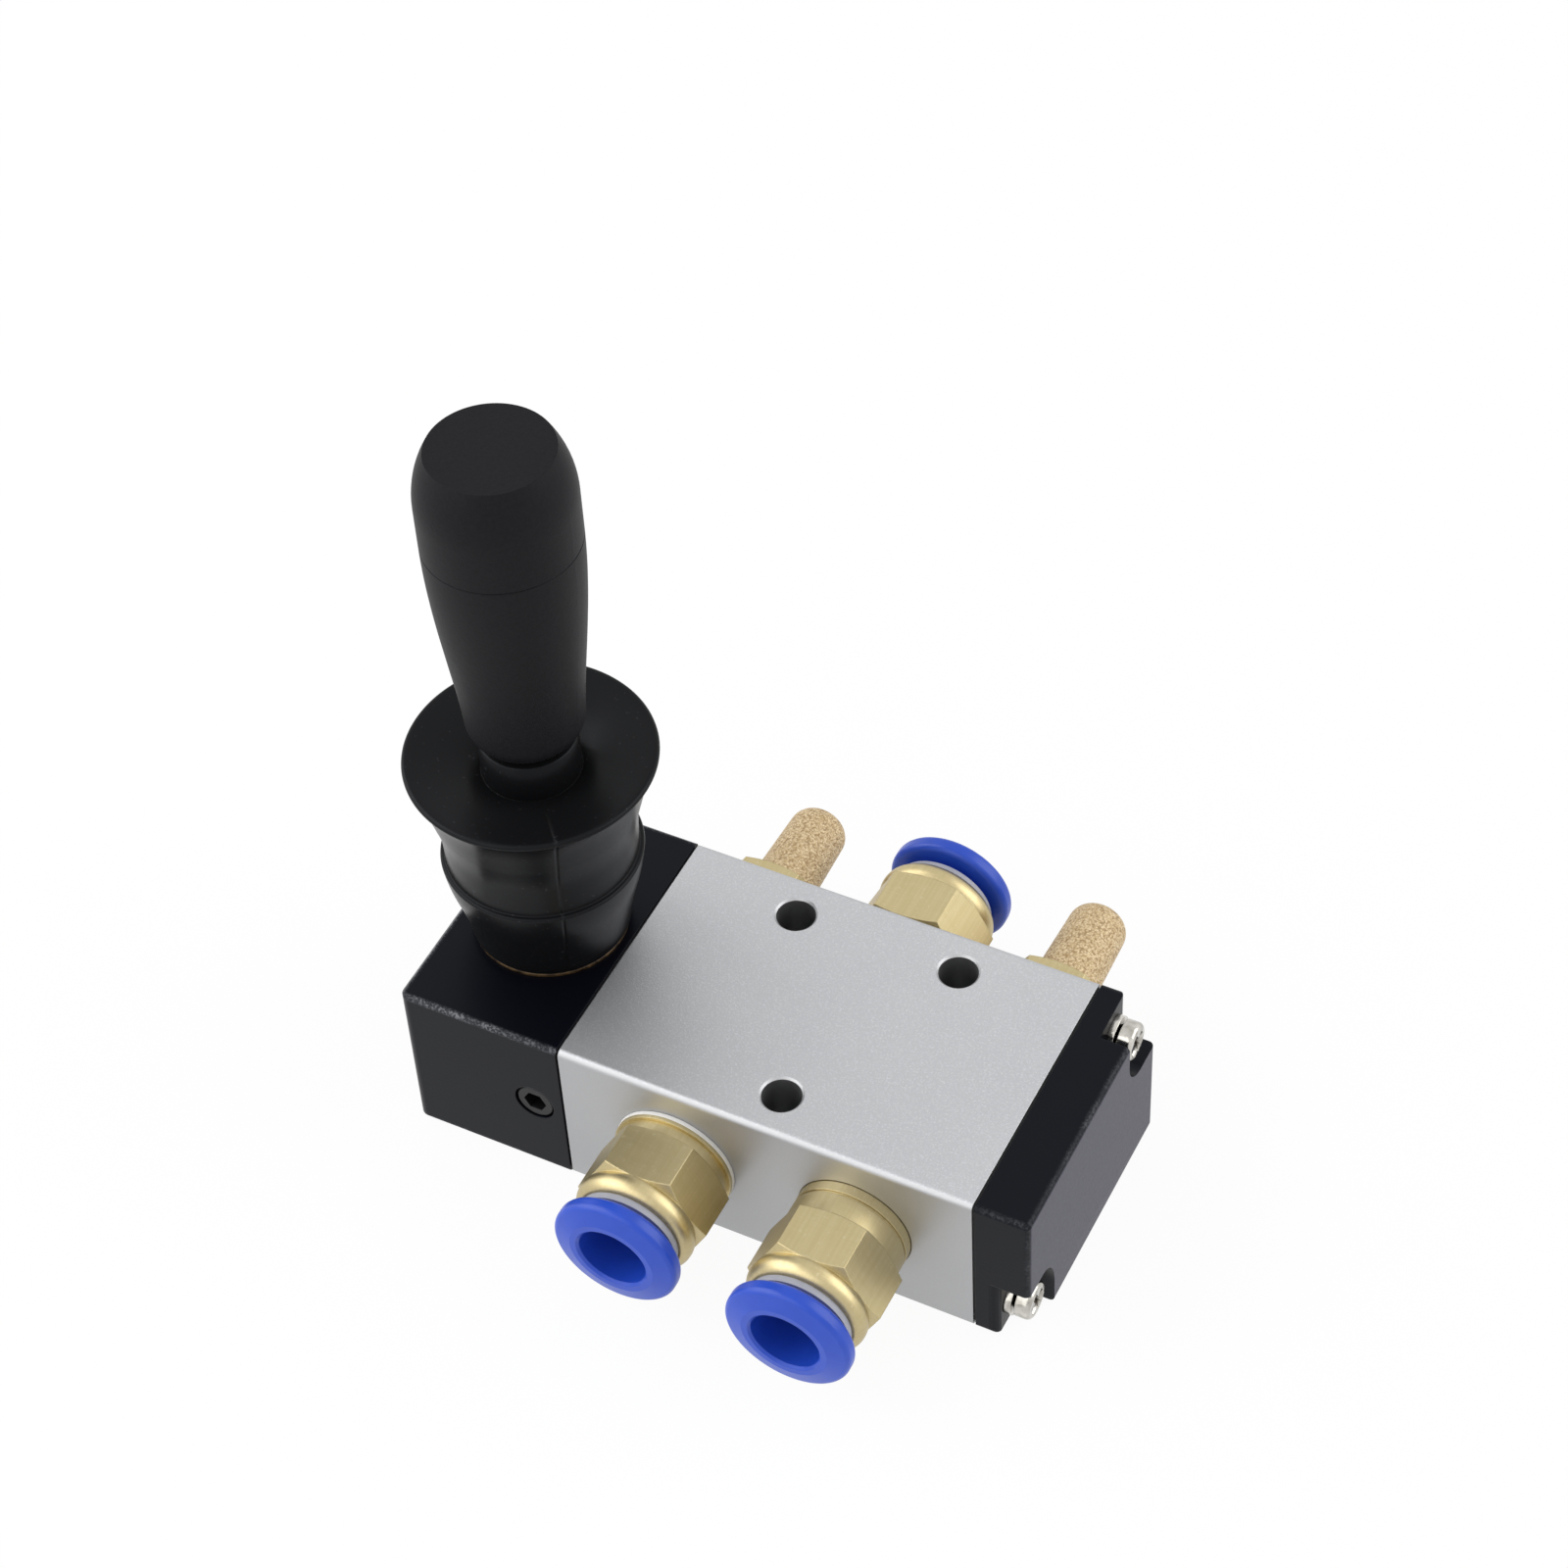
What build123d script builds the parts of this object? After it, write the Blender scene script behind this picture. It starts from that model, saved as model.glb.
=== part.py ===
from build123d import *
import os
from math import cos, radians, sin

# A five-port air valve that is shifted by hand. A spool slides in an aluminium block and joins the
# supply port to one outlet or the other. A lever in the black housing at one end moves the spool.
# The origin is the centre of the block's bottom face. +X runs along the spool to the end cover,
# +Z up the lever, and the two outlets face -Y. All sizes are in millimetres.

# Fits
RUNNING_CLEARANCE = 0.05  # radial, between pieces that move on each other
SEAT_CLEARANCE = 0.02  # radial, between pieces that are screwed or pressed together
DRIVE_CLEARANCE = 0.05  # radial, the lever's ball in the spool's cross hole
SEAL_CLEARANCE = 0.02  # radial, a spool seal in its bore
CUT_PAST = 0.5  # how far a cut runs past the face or the piece that it opens

# Valve block
BODY_LENGTH = 50.8
BODY_WIDTH = 34.6
BODY_HEIGHT = 22.0
BODY_EDGE = 0.8
SPOOL_BORE = 12.0
OUTLET_PITCH = 22.2
EXHAUST_PITCH = 36.6
PORT_BORE = 13.2
PORT_DEPTH = 9.0
EXHAUST_BORE = 9.8
EXHAUST_DEPTH = 7.8
PORT_CHAMFER = 0.4

# Mounting holes
MOUNT_HOLE = 4.6
MOUNT_PAIR_PITCH = 20.5
MOUNT_ROW_PITCH = 24.1
MOUNT_CHAMFER = 0.25

# Galleries in the spool bore, and the passages that lead to them
GALLERY_DEPTH = 1.2
SUPPLY_GALLERY = 4.8
OUTLET_GALLERY = 7.2
EXHAUST_GALLERY = 2.4
OUTLET_PASSAGE = 4.6
EXHAUST_PASSAGE_HEIGHT = 6.0

# Lever
LEVER_ANGLE = 13.5
LEVER_SETBACK = 9.85  # from the housing's joint face
PIVOT_DEPTH = 2.4
PIVOT_PIN = 3.0
PIVOT_PIN_LENGTH = 14.6
PIVOT_BOSS = 6.4
PIVOT_BOSS_WIDTH = 8.0
PIVOT_BOSS_GAP = 0.6
DRIVE_BALL = 5.0
DRIVE_NECK = 2.8
LEVER_ROD = 6.0
LEVER_ROD_CHAMFER = 0.5
PIVOT_PIN_CHAMFER = 0.25

# Spool
SEAL_WIDTH = 1.4
SEAL_CROWN = 0.45
SEAL_OVERLAP = 0.15
LAND_SHOULDER = 0.9
SPOOL_NECK = 8.0
SEAL_GROOVE_BOTTOM = 9.4
SPOOL_NOSE = 8.0
SPOOL_NOSE_LENGTH = 0.6
DRIVE_STEM = 10.0
DRIVE_STEM_END = 5.8
DRIVE_HOLE_CHAMFER = 1.0

# Detent
DETENT_OFFSET = 3.7
DETENT_BALL = 3.0
DETENT_NOTCH_DEPTH = 0.35
DETENT_NOTCH_WIDTH = 1.4
DETENT_PLUG = 5.0
DETENT_PLUG_LENGTH = 4.6
DETENT_PLUG_RECESS = 0.15
DETENT_PLUG_SOCKET = 2.5
DETENT_PLUG_SOCKET_DEPTH = 2.2
DETENT_PLUG_CHAMFER = 0.3
SPRING_OUTSIDE = 2.7
SPRING_WIRE = 0.4
SPRING_TURNS = 5

# Lever housing
HOUSING_LENGTH = 20.3
HOUSING_CORNER = 1.2
HOUSING_EDGE = 0.4
HOUSING_END_WALL = 2.1
END_RECESS_DEPTH = 1.5
LEVER_SLOT_MARGIN = 0.9
LEVER_SLOT_CORNER = 0.6
LEVER_WELL_WIDTH = 5.6
HOUSING_SCREW_INSET = 4.1
HEAD_POCKET = 6.2
HEAD_POCKET_DEPTH = 3.4

# Gaskets
GASKET_THICKNESS = 0.3
GASKET_INSET = 0.3

# End cover
COVER_THICKNESS = 6.5
COVER_EDGE = 0.7
COVER_EAR = 3.6
COVER_SCREW_INSET = 3.7
COVER_POCKET = 7.5

# Screws and split washers, size M3
SCREW = 3.0
SCREW_HOLE = 3.3
SCREW_ENGAGEMENT = 5.8
SCREW_HEAD = 5.6
SCREW_HEAD_HEIGHT = 2.3
SCREW_HEAD_CROWN = 0.8
SCREW_TURN = 25
CROSS_WIDTH = 0.9
CROSS_SPAN = 3.0
CROSS_DEPTH = 1.3
LOCK_WASHER = 5.4
LOCK_WASHER_THICKNESS = 0.8
LOCK_WASHER_SPLIT = 0.5
LOCK_WASHER_SLANT = 35
LOCK_WASHER_TURN = 70

# Boot ring, the collar that the boot is snapped on
RING_SPIGOT = 15.8
RING_SPIGOT_DEPTH = 0.8
RING_FLANGE = 18.6
RING_FLANGE_THICKNESS = 0.8
RING_COLLAR = 16.0
RING_COLLAR_HEIGHT = 1.9
RING_BEAD = 16.5
RING_BEAD_HEIGHT = 0.8
RING_BORE = 10.4

# Boot, heights counted from the housing's top
BOOT_FOOT_RADIUS = 9.4
BOOT_FOOT_TOP = 4.0
BOOT_BULGE_RADIUS = 10.65
BOOT_BULGE_HEIGHT = 8.0
BOOT_LIP_RADIUS = 11.55
BOOT_LIP_HEIGHT = 12.5
BOOT_LIP_LEDGE = 0.4
BOOT_WAIST_RADIUS = 11.05
BOOT_WAIST_HEIGHT = 15.6
BOOT_SKIRT_RADIUS = 11.5
BOOT_SKIRT_HEIGHT = 19.2
BOOT_SKIRT_TOP_RADIUS = 13.8
BOOT_FLARE_SLOPE = 0.42  # radius per height, just under the rim
BOOT_RIM_RADIUS = 14.25
BOOT_RIM_HEIGHT = 28.0
BOOT_RIM_THICKNESS = 0.9
BOOT_WALL = 1.3
BOOT_BEAD_GAP = 0.6
BOOT_DISH_RADIUS = 6.9
BOOT_DISH_HEIGHT = 26.4
BOOT_COLLAR_RADIUS = 5.6
BOOT_COLLAR_TOP = 30.5

# Handle, heights counted from the housing's top
GRIP_BOTTOM = 31.0
GRIP_FOOT_RADIUS = 6.6
GRIP_WAIST_RADIUS = 7.35
GRIP_WAIST_HEIGHT = 42.0
GRIP_FOOT_ROUND = 3.4
SEAM_HEIGHT = 60.5
SEAM_RADIUS = 8.68
CAP_SIDE_LENGTH = 5.5
CAP_CROWN_LENGTH = 6.7
CAP_TOP_RADIUS = 6.95
CAP_SPIGOT = 9.0
CAP_SPIGOT_LENGTH = 3.0
LEVER_ROD_END_GAP = 1.5
SEAM_CHAMFER = 0.12

# Push-in fittings for 8 mm tube, distances counted out from the block's face or the hex's shoulder
STEM_LENGTH = 8.2
HEX_ACROSS_FLATS = 14.0
HEX_END = 7.9
HEX_CHAMFER_SLOPE = 0.5
HEX_TURN_P = -4
SHOULDER_LENGTH = 1.3
LIP_RADIUS = 7.25
LIP_CREST = 8.9
LIP_END = 10.3
LIP_RISE = 0.4
LIP_ROUND = 0.06
MOUTH_WALL = 0.25
MOUTH_BORE = 12.3
MOUTH_FLOOR = 5.3
SEAL_BORE = 11.2
SEAL_FLOOR = 3.6
TUBE_BORE = 8.1
TUBE_STOP = -1.5
FLOW_BORE = 6.2
TUBE_SEAL_LENGTH = 1.6
TUBE_SEAL_LIP = 0.5
GUIDE_BORE = 10.2
GUIDE_END = 11.1
GRIP_RING_BORE = 8.4
GRIP_RING_THICKNESS = 0.35
GRIP_RING_DISH = 0.7
GRIP_RING_TEETH = 8
GRIP_RING_SLOT = 0.7
RELEASE_TRAVEL = 0.8
RELEASE_GAP = 0.1
BUTTON_HOLE = 8.3
BUTTON_FLANGE_RADIUS = 7.6
BUTTON_BACK = 12.0
BUTTON_FRONT = 13.9
BUTTON_NOSE = 14.6
BUTTON_NOSE_RADIUS = 5.2
BUTTON_LEAD_IN = 0.3
BUTTON_EDGE = 0.7
WASHER_THICKNESS = 1.0
WASHER_RADIUS = 7.35
STANDOFF_P = 1.4
STANDOFF_B = 2.9
STANDOFF_RADIUS = 6.9
STANDOFF_GROOVE = 0.3
STANDOFF_GROOVE_DEPTH = 0.25

# Silencers
SILENCER_STEM_LENGTH = 7.0
SILENCER_HEX = 12.0
SILENCER_HEX_LENGTH = 4.6
SILENCER_BORE = 5.2
ELEMENT_BASE_RADIUS = 3.9
ELEMENT_TIP_RADIUS = 3.5
ELEMENT_END = 17.8
ELEMENT_WALL = 1.3
ELEMENT_SEAT = 2.0
ELEMENT_DOME = 2.4

# Places that follow from the sizes above
HALF_LENGTH = BODY_LENGTH / 2
HALF_WIDTH = BODY_WIDTH / 2
HOUSING_FACE = -HALF_LENGTH - GASKET_THICKNESS
HOUSING_END = HOUSING_FACE - HOUSING_LENGTH
COVER_FACE = HALF_LENGTH + GASKET_THICKNESS
COVER_END = COVER_FACE + COVER_THICKNESS
LEVER_X = HOUSING_FACE - LEVER_SETBACK
DETENT_X = HOUSING_FACE - DETENT_OFFSET
SPOOL_AXIS_HEIGHT = BODY_HEIGHT / 2
PIVOT_HEIGHT = BODY_HEIGHT - PIVOT_DEPTH
LEVER_ARM = PIVOT_HEIGHT - SPOOL_AXIS_HEIGHT
STROKE = LEVER_ARM * sin(radians(LEVER_ANGLE))
BOSS_FLOOR = PIVOT_HEIGHT - PIVOT_BOSS / 2 - PIVOT_BOSS_GAP
LEVER_SLOT_LENGTH = PIVOT_BOSS + 2 * LEVER_SLOT_MARGIN
LEVER_ROD_TOP = SEAM_HEIGHT - CAP_SPIGOT_LENGTH - LEVER_ROD_END_GAP

# Seal and gallery edges, counted along the bore from the middle of the block. Each seal closes its
# land when the spool is centred, and one stroke opens it into the gallery on one side only.
SEAL_REACH = SEAL_WIDTH / 2 + SEAL_OVERLAP + STROKE
INNER_SEAL = SUPPLY_GALLERY / 2 + SEAL_REACH
OUTLET_GALLERY_START = INNER_SEAL + STROKE / 2
OUTLET_GALLERY_END = OUTLET_GALLERY_START + OUTLET_GALLERY
MIDDLE_SEAL = OUTLET_GALLERY_END + STROKE / 2
EXHAUST_GALLERY_START = MIDDLE_SEAL + SEAL_REACH
EXHAUST_GALLERY_END = EXHAUST_GALLERY_START + EXHAUST_GALLERY
OUTER_SEAL = EXHAUST_GALLERY_END + SEAL_REACH
SEAL_PLACES = [side * place for side in (-1, 1) for place in (INNER_SEAL, MIDDLE_SEAL, OUTER_SEAL)]
LAND_HALF = SEAL_WIDTH / 2 + LAND_SHOULDER

# Ways of turning a piece that is drawn upright, so that it points along an axis of the valve
ALONG_X = Rot(Y=90)
TO_FRONT = Rot(X=90)
TO_BACK = Rot(X=-90)


def turned(points):
    """A solid of revolution about Z from a closed outline of (radius, height) points."""
    return revolve(Plane.XZ * make_face(Polyline(*points, close=True)), Axis.Z)


def rod(diameter, start, end):
    """An upright cylinder between two heights."""
    return Pos(0, 0, (start + end) / 2) * Cylinder(diameter / 2, end - start)


def tube(outside, inside, start, end):
    """An upright tube between two heights."""
    return rod(outside, start, end) - rod(inside, start, end)


def hexagon(across_flats, length):
    """An upright hexagonal bar on height zero, with two flats square to Y."""
    return extrude(RegularPolygon(across_flats / 2, 6, major_radius=False), length)


def hex_corner(across_flats):
    """The radius to a corner of a hexagon."""
    return across_flats / 2 / cos(radians(30))


def on_spool(x=0):
    """The spool's axis at a place along it, with the drawn Z along +X."""
    return Pos(x, 0, SPOOL_AXIS_HEIGHT) * ALONG_X


def block(start, end, width, height):
    """A block that stands on the bottom plane and spans two places along X."""
    return Pos((start + end) / 2, 0, height / 2) * Box(end - start, width, height)


def front_port(x):
    return Pos(x, -HALF_WIDTH, SPOOL_AXIS_HEIGHT) * TO_FRONT


def back_port(x):
    return Pos(x, HALF_WIDTH, SPOOL_AXIS_HEIGHT) * TO_BACK


PORT_A = front_port(-OUTLET_PITCH / 2)
PORT_B = front_port(OUTLET_PITCH / 2)
PORT_P = back_port(0) * Rot(Z=HEX_TURN_P)
PORT_S = back_port(-EXHAUST_PITCH / 2)
PORT_R = back_port(EXHAUST_PITCH / 2)


def corner_places(inset):
    """The two screws of an end: low on the front side and high on the back side."""
    across = HALF_WIDTH - inset
    return [(-across, inset), (across, BODY_HEIGHT - inset)]


# Valve body


def port_cut(bore, depth):
    """A port's bore from the face inwards, with its chamfered mouth."""
    radius = bore / 2
    return turned([
        (0, -depth),
        (radius, -depth),
        (radius, -PORT_CHAMFER),
        (radius + PORT_CHAMFER, 0),
        (radius + PORT_CHAMFER, CUT_PAST),
        (0, CUT_PAST),
    ])


def mounting_hole_places():
    back = [(side * MOUNT_PAIR_PITCH / 2, MOUNT_ROW_PITCH / 2) for side in (-1, 1)]
    return back + [(0, -MOUNT_ROW_PITCH / 2)]


def mounting_hole():
    radius = MOUNT_HOLE / 2
    wide = radius + MOUNT_CHAMFER
    return turned([
        (0, 0),
        (wide, 0),
        (radius, MOUNT_CHAMFER),
        (radius, BODY_HEIGHT - MOUNT_CHAMFER),
        (wide, BODY_HEIGHT),
        (0, BODY_HEIGHT),
    ])


def make_valve_body():
    body = block(-HALF_LENGTH, HALF_LENGTH, BODY_WIDTH, BODY_HEIGHT)
    body = fillet(body.edges().filter_by(Axis.X), BODY_EDGE)
    body -= on_spool() * rod(SPOOL_BORE, -HALF_LENGTH, HALF_LENGTH)
    gallery = SPOOL_BORE + 2 * GALLERY_DEPTH
    spans = [
        (-SUPPLY_GALLERY / 2, SUPPLY_GALLERY / 2),
        (OUTLET_GALLERY_START, OUTLET_GALLERY_END),
        (-OUTLET_GALLERY_END, -OUTLET_GALLERY_START),
        (EXHAUST_GALLERY_START, EXHAUST_GALLERY_END),
        (-EXHAUST_GALLERY_END, -EXHAUST_GALLERY_START),
    ]
    for start, end in spans:
        body -= on_spool() * rod(gallery, start, end)
    for port in (PORT_A, PORT_B, PORT_P):
        body -= port * port_cut(PORT_BORE, PORT_DEPTH)
        body -= port * rod(OUTLET_PASSAGE, -HALF_WIDTH, -PORT_DEPTH)
    exhaust_x = (EXHAUST_GALLERY_START + EXHAUST_GALLERY_END) / 2
    passage_end = HALF_WIDTH - EXHAUST_DEPTH
    for side, port in ((-1, PORT_S), (1, PORT_R)):
        body -= port * port_cut(EXHAUST_BORE, EXHAUST_DEPTH)
        passage = Box(EXHAUST_GALLERY, passage_end, EXHAUST_PASSAGE_HEIGHT)
        body -= Pos(side * exhaust_x, passage_end / 2, SPOOL_AXIS_HEIGHT) * passage
    for x, y in mounting_hole_places():
        body -= Pos(x, y, 0) * mounting_hole()
    screw_end = HALF_LENGTH - SCREW_ENGAGEMENT - CUT_PAST
    for y, z in corner_places(COVER_SCREW_INSET):
        body -= Pos(0, y, z) * ALONG_X * rod(SCREW, screw_end, HALF_LENGTH)
    for y, z in corner_places(HOUSING_SCREW_INSET):
        body -= Pos(0, y, z) * ALONG_X * rod(SCREW, -HALF_LENGTH, -screw_end)
    return body


# Gaskets


def make_gasket(start, screw_inset):
    """A sheet between the block and an end piece, a little smaller than their faces."""
    width = BODY_WIDTH - 2 * GASKET_INSET
    height = BODY_HEIGHT - 2 * GASKET_INSET
    sheet = Pos(start + GASKET_THICKNESS / 2, 0, BODY_HEIGHT / 2) * Box(GASKET_THICKNESS, width, height)
    sheet = fillet(sheet.edges().filter_by(Axis.X), BODY_EDGE)
    end = start + GASKET_THICKNESS
    sheet -= on_spool() * rod(SPOOL_BORE, start, end)
    for y, z in corner_places(screw_inset):
        sheet -= Pos(0, y, z) * ALONG_X * rod(SCREW_HOLE, start, end)
    return sheet


def make_housing_gasket():
    return make_gasket(HOUSING_FACE, HOUSING_SCREW_INSET)


def make_cover_gasket():
    return make_gasket(HALF_LENGTH, COVER_SCREW_INSET)


# End cover


def make_end_cover():
    cover = block(COVER_FACE, COVER_END, BODY_WIDTH, BODY_HEIGHT)
    outer = cover.edges() - cover.faces().sort_by(Axis.X)[0].edges()
    cover = fillet(outer, COVER_EDGE)
    cover -= on_spool() * rod(SPOOL_BORE, COVER_FACE, COVER_FACE + END_RECESS_DEPTH)
    ear_face = COVER_FACE + COVER_EAR
    half = COVER_POCKET / 2
    for y, z in corner_places(COVER_SCREW_INSET):
        side = 1 if y > 0 else -1
        pocket = Circle(half)
        pocket += Pos(side * half, 0) * Rectangle(COVER_POCKET, COVER_POCKET)
        pocket += Pos(0, side * half) * Rectangle(COVER_POCKET, COVER_POCKET)
        pocket += Pos(side * half, side * half) * Rectangle(COVER_POCKET, COVER_POCKET)
        cover -= Pos(ear_face, y, z) * ALONG_X * Rot(Z=90) * extrude(pocket, COVER_THICKNESS)
        cover -= Pos(0, y, z) * ALONG_X * rod(SCREW_HOLE, COVER_FACE, ear_face)
    return cover


# Screws and split washers


def make_screw(length):
    """A pan head screw that points down, with the underside of its head at height zero."""
    head = rod(SCREW_HEAD, 0, SCREW_HEAD_HEIGHT)
    head = fillet(head.edges().sort_by(Axis.Z)[-1], SCREW_HEAD_CROWN)
    recess = Box(CROSS_SPAN, CROSS_WIDTH, CROSS_DEPTH) + Box(CROSS_WIDTH, CROSS_SPAN, CROSS_DEPTH)
    head -= Pos(0, 0, SCREW_HEAD_HEIGHT - CROSS_DEPTH / 2) * recess
    return head + rod(SCREW - 2 * SEAT_CLEARANCE, -length, 0)


def make_lock_washer():
    """A split spring washer that stands on height zero."""
    ring = tube(LOCK_WASHER, SCREW_HOLE, 0, LOCK_WASHER_THICKNESS)
    split = Box(LOCK_WASHER, LOCK_WASHER_SPLIT, 2 * LOCK_WASHER_THICKNESS)
    return ring - Pos(LOCK_WASHER / 2, 0, LOCK_WASHER_THICKNESS / 2) * Rot(X=LOCK_WASHER_SLANT) * split


def make_cover_screws():
    ear_face = COVER_FACE + COVER_EAR
    under_head = ear_face + LOCK_WASHER_THICKNESS
    length = under_head - HALF_LENGTH + SCREW_ENGAGEMENT
    screw = Rot(Z=SCREW_TURN) * make_screw(length)
    places = corner_places(COVER_SCREW_INSET)
    return Compound(children=[Pos(under_head, y, z) * ALONG_X * screw for y, z in places])


def make_cover_lock_washers():
    ear_face = COVER_FACE + COVER_EAR
    washer = make_lock_washer()
    places = corner_places(COVER_SCREW_INSET)
    turn = Rot(Z=LOCK_WASHER_TURN)
    return Compound(children=[Pos(ear_face, y, z) * ALONG_X * turn * washer for y, z in places])


def make_housing_screws():
    pocket_floor = HOUSING_END + HEAD_POCKET_DEPTH
    under_head = pocket_floor - LOCK_WASHER_THICKNESS
    length = SCREW_ENGAGEMENT - HALF_LENGTH - under_head
    screw = Rot(Y=180) * make_screw(length)
    places = corner_places(HOUSING_SCREW_INSET)
    return Compound(children=[Pos(under_head, y, z) * ALONG_X * screw for y, z in places])


def make_housing_lock_washers():
    pocket_floor = HOUSING_END + HEAD_POCKET_DEPTH
    washer = Rot(Y=180) * make_lock_washer()
    places = corner_places(HOUSING_SCREW_INSET)
    return Compound(children=[Pos(pocket_floor, y, z) * ALONG_X * washer for y, z in places])


# Lever housing


def make_lever_housing():
    housing = block(HOUSING_END, HOUSING_FACE, BODY_WIDTH, BODY_HEIGHT)
    uprights = housing.edges().filter_by(Axis.Z).sort_by(Axis.X)[:2]
    housing = fillet(uprights, HOUSING_CORNER)
    rims = housing.faces().sort_by(Axis.Z)[-1].edges() + housing.faces().sort_by(Axis.Z)[0].edges()
    joint = housing.faces().sort_by(Axis.X)[-1].edges()
    housing = chamfer(rims - joint, HOUSING_EDGE)
    stem_bore = DRIVE_STEM + 2 * RUNNING_CLEARANCE
    housing -= on_spool() * rod(stem_bore, HOUSING_END + HOUSING_END_WALL, HOUSING_FACE)
    housing -= on_spool() * rod(SPOOL_BORE, HOUSING_FACE - END_RECESS_DEPTH, HOUSING_FACE)

    spigot_floor = BODY_HEIGHT - RING_SPIGOT_DEPTH
    housing -= Pos(LEVER_X, 0, 0) * rod(RING_SPIGOT, spigot_floor, BODY_HEIGHT)
    slot_width = PIVOT_BOSS_WIDTH + 2 * RUNNING_CLEARANCE
    slot_outline = RectangleRounded(LEVER_SLOT_LENGTH, slot_width, LEVER_SLOT_CORNER)
    housing -= Pos(LEVER_X, 0, BOSS_FLOOR) * extrude(slot_outline, BODY_HEIGHT - BOSS_FLOOR)
    well = extrude(SlotOverall(LEVER_SLOT_LENGTH, LEVER_WELL_WIDTH), BODY_HEIGHT - SPOOL_AXIS_HEIGHT)
    housing -= Pos(LEVER_X, 0, SPOOL_AXIS_HEIGHT) * well

    pin_seat = PIVOT_PIN + 2 * SEAT_CLEARANCE
    pin_bed = Pos(LEVER_X, 0, PIVOT_HEIGHT) * TO_FRONT
    pin_half = PIVOT_PIN_LENGTH / 2 + SEAT_CLEARANCE
    housing -= pin_bed * rod(pin_seat, -pin_half, pin_half)
    drop_height = BODY_HEIGHT - PIVOT_HEIGHT
    drop = Box(pin_seat, 2 * pin_half, drop_height)
    housing -= Pos(LEVER_X, 0, PIVOT_HEIGHT + drop_height / 2) * drop

    ball_bore = DETENT_BALL + 2 * RUNNING_CLEARANCE
    plug_bottom = DETENT_PLUG_RECESS + DETENT_PLUG_LENGTH
    housing -= front_port(DETENT_X) * rod(ball_bore, -HALF_WIDTH + DRIVE_STEM / 2 - CUT_PAST, 0)
    housing -= front_port(DETENT_X) * rod(DETENT_PLUG, -plug_bottom, 0)

    pocket_floor = HOUSING_END + HEAD_POCKET_DEPTH
    for y, z in corner_places(HOUSING_SCREW_INSET):
        housing -= Pos(0, y, z) * ALONG_X * rod(SCREW_HOLE, HOUSING_END, HOUSING_FACE)
        housing -= Pos(0, y, z) * ALONG_X * rod(HEAD_POCKET, HOUSING_END, pocket_floor)
    return housing


# Detent: a ball that the spring presses at the notches in the spool's stem. It is drawn at the
# height where the crests between the notches just pass under it.


def ball_height():
    """The ball's centre, counted out from the spool's axis."""
    return DRIVE_STEM / 2 + RUNNING_CLEARANCE + DETENT_BALL / 2


def make_detent_ball():
    return Pos(DETENT_X, -ball_height(), SPOOL_AXIS_HEIGHT) * Sphere(DETENT_BALL / 2)


def make_detent_plug():
    plug = rod(DETENT_PLUG - 2 * SEAT_CLEARANCE, -DETENT_PLUG_LENGTH, 0)
    plug = chamfer(plug.edges().sort_by(Axis.Z)[-1], DETENT_PLUG_CHAMFER)
    socket = hexagon(DETENT_PLUG_SOCKET, DETENT_PLUG_SOCKET_DEPTH)
    plug -= Pos(0, 0, -DETENT_PLUG_SOCKET_DEPTH) * socket
    return front_port(DETENT_X) * Pos(0, 0, -DETENT_PLUG_RECESS) * plug


def make_detent_spring():
    bottom = -HALF_WIDTH + ball_height() + DETENT_BALL / 2
    top = -DETENT_PLUG_RECESS - DETENT_PLUG_LENGTH
    rise = top - bottom - SPRING_WIRE
    radius = (SPRING_OUTSIDE - SPRING_WIRE) / 2
    path = Helix(rise / SPRING_TURNS, rise, radius)
    start = Plane(origin=path @ 0, z_dir=path % 0)
    coil = sweep(start * RegularPolygon(SPRING_WIRE / 2, 6), path, is_frenet=True)
    return front_port(DETENT_X) * Pos(0, 0, bottom + SPRING_WIRE / 2) * coil


# Spool and its seals, drawn upright along Z and then laid along the bore


def ring_groove(outer, bottom, start, end):
    """The cut of a groove round a rod, down to the bottom's diameter."""
    return tube(outer + 2 * CUT_PAST, bottom, start, end)


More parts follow.
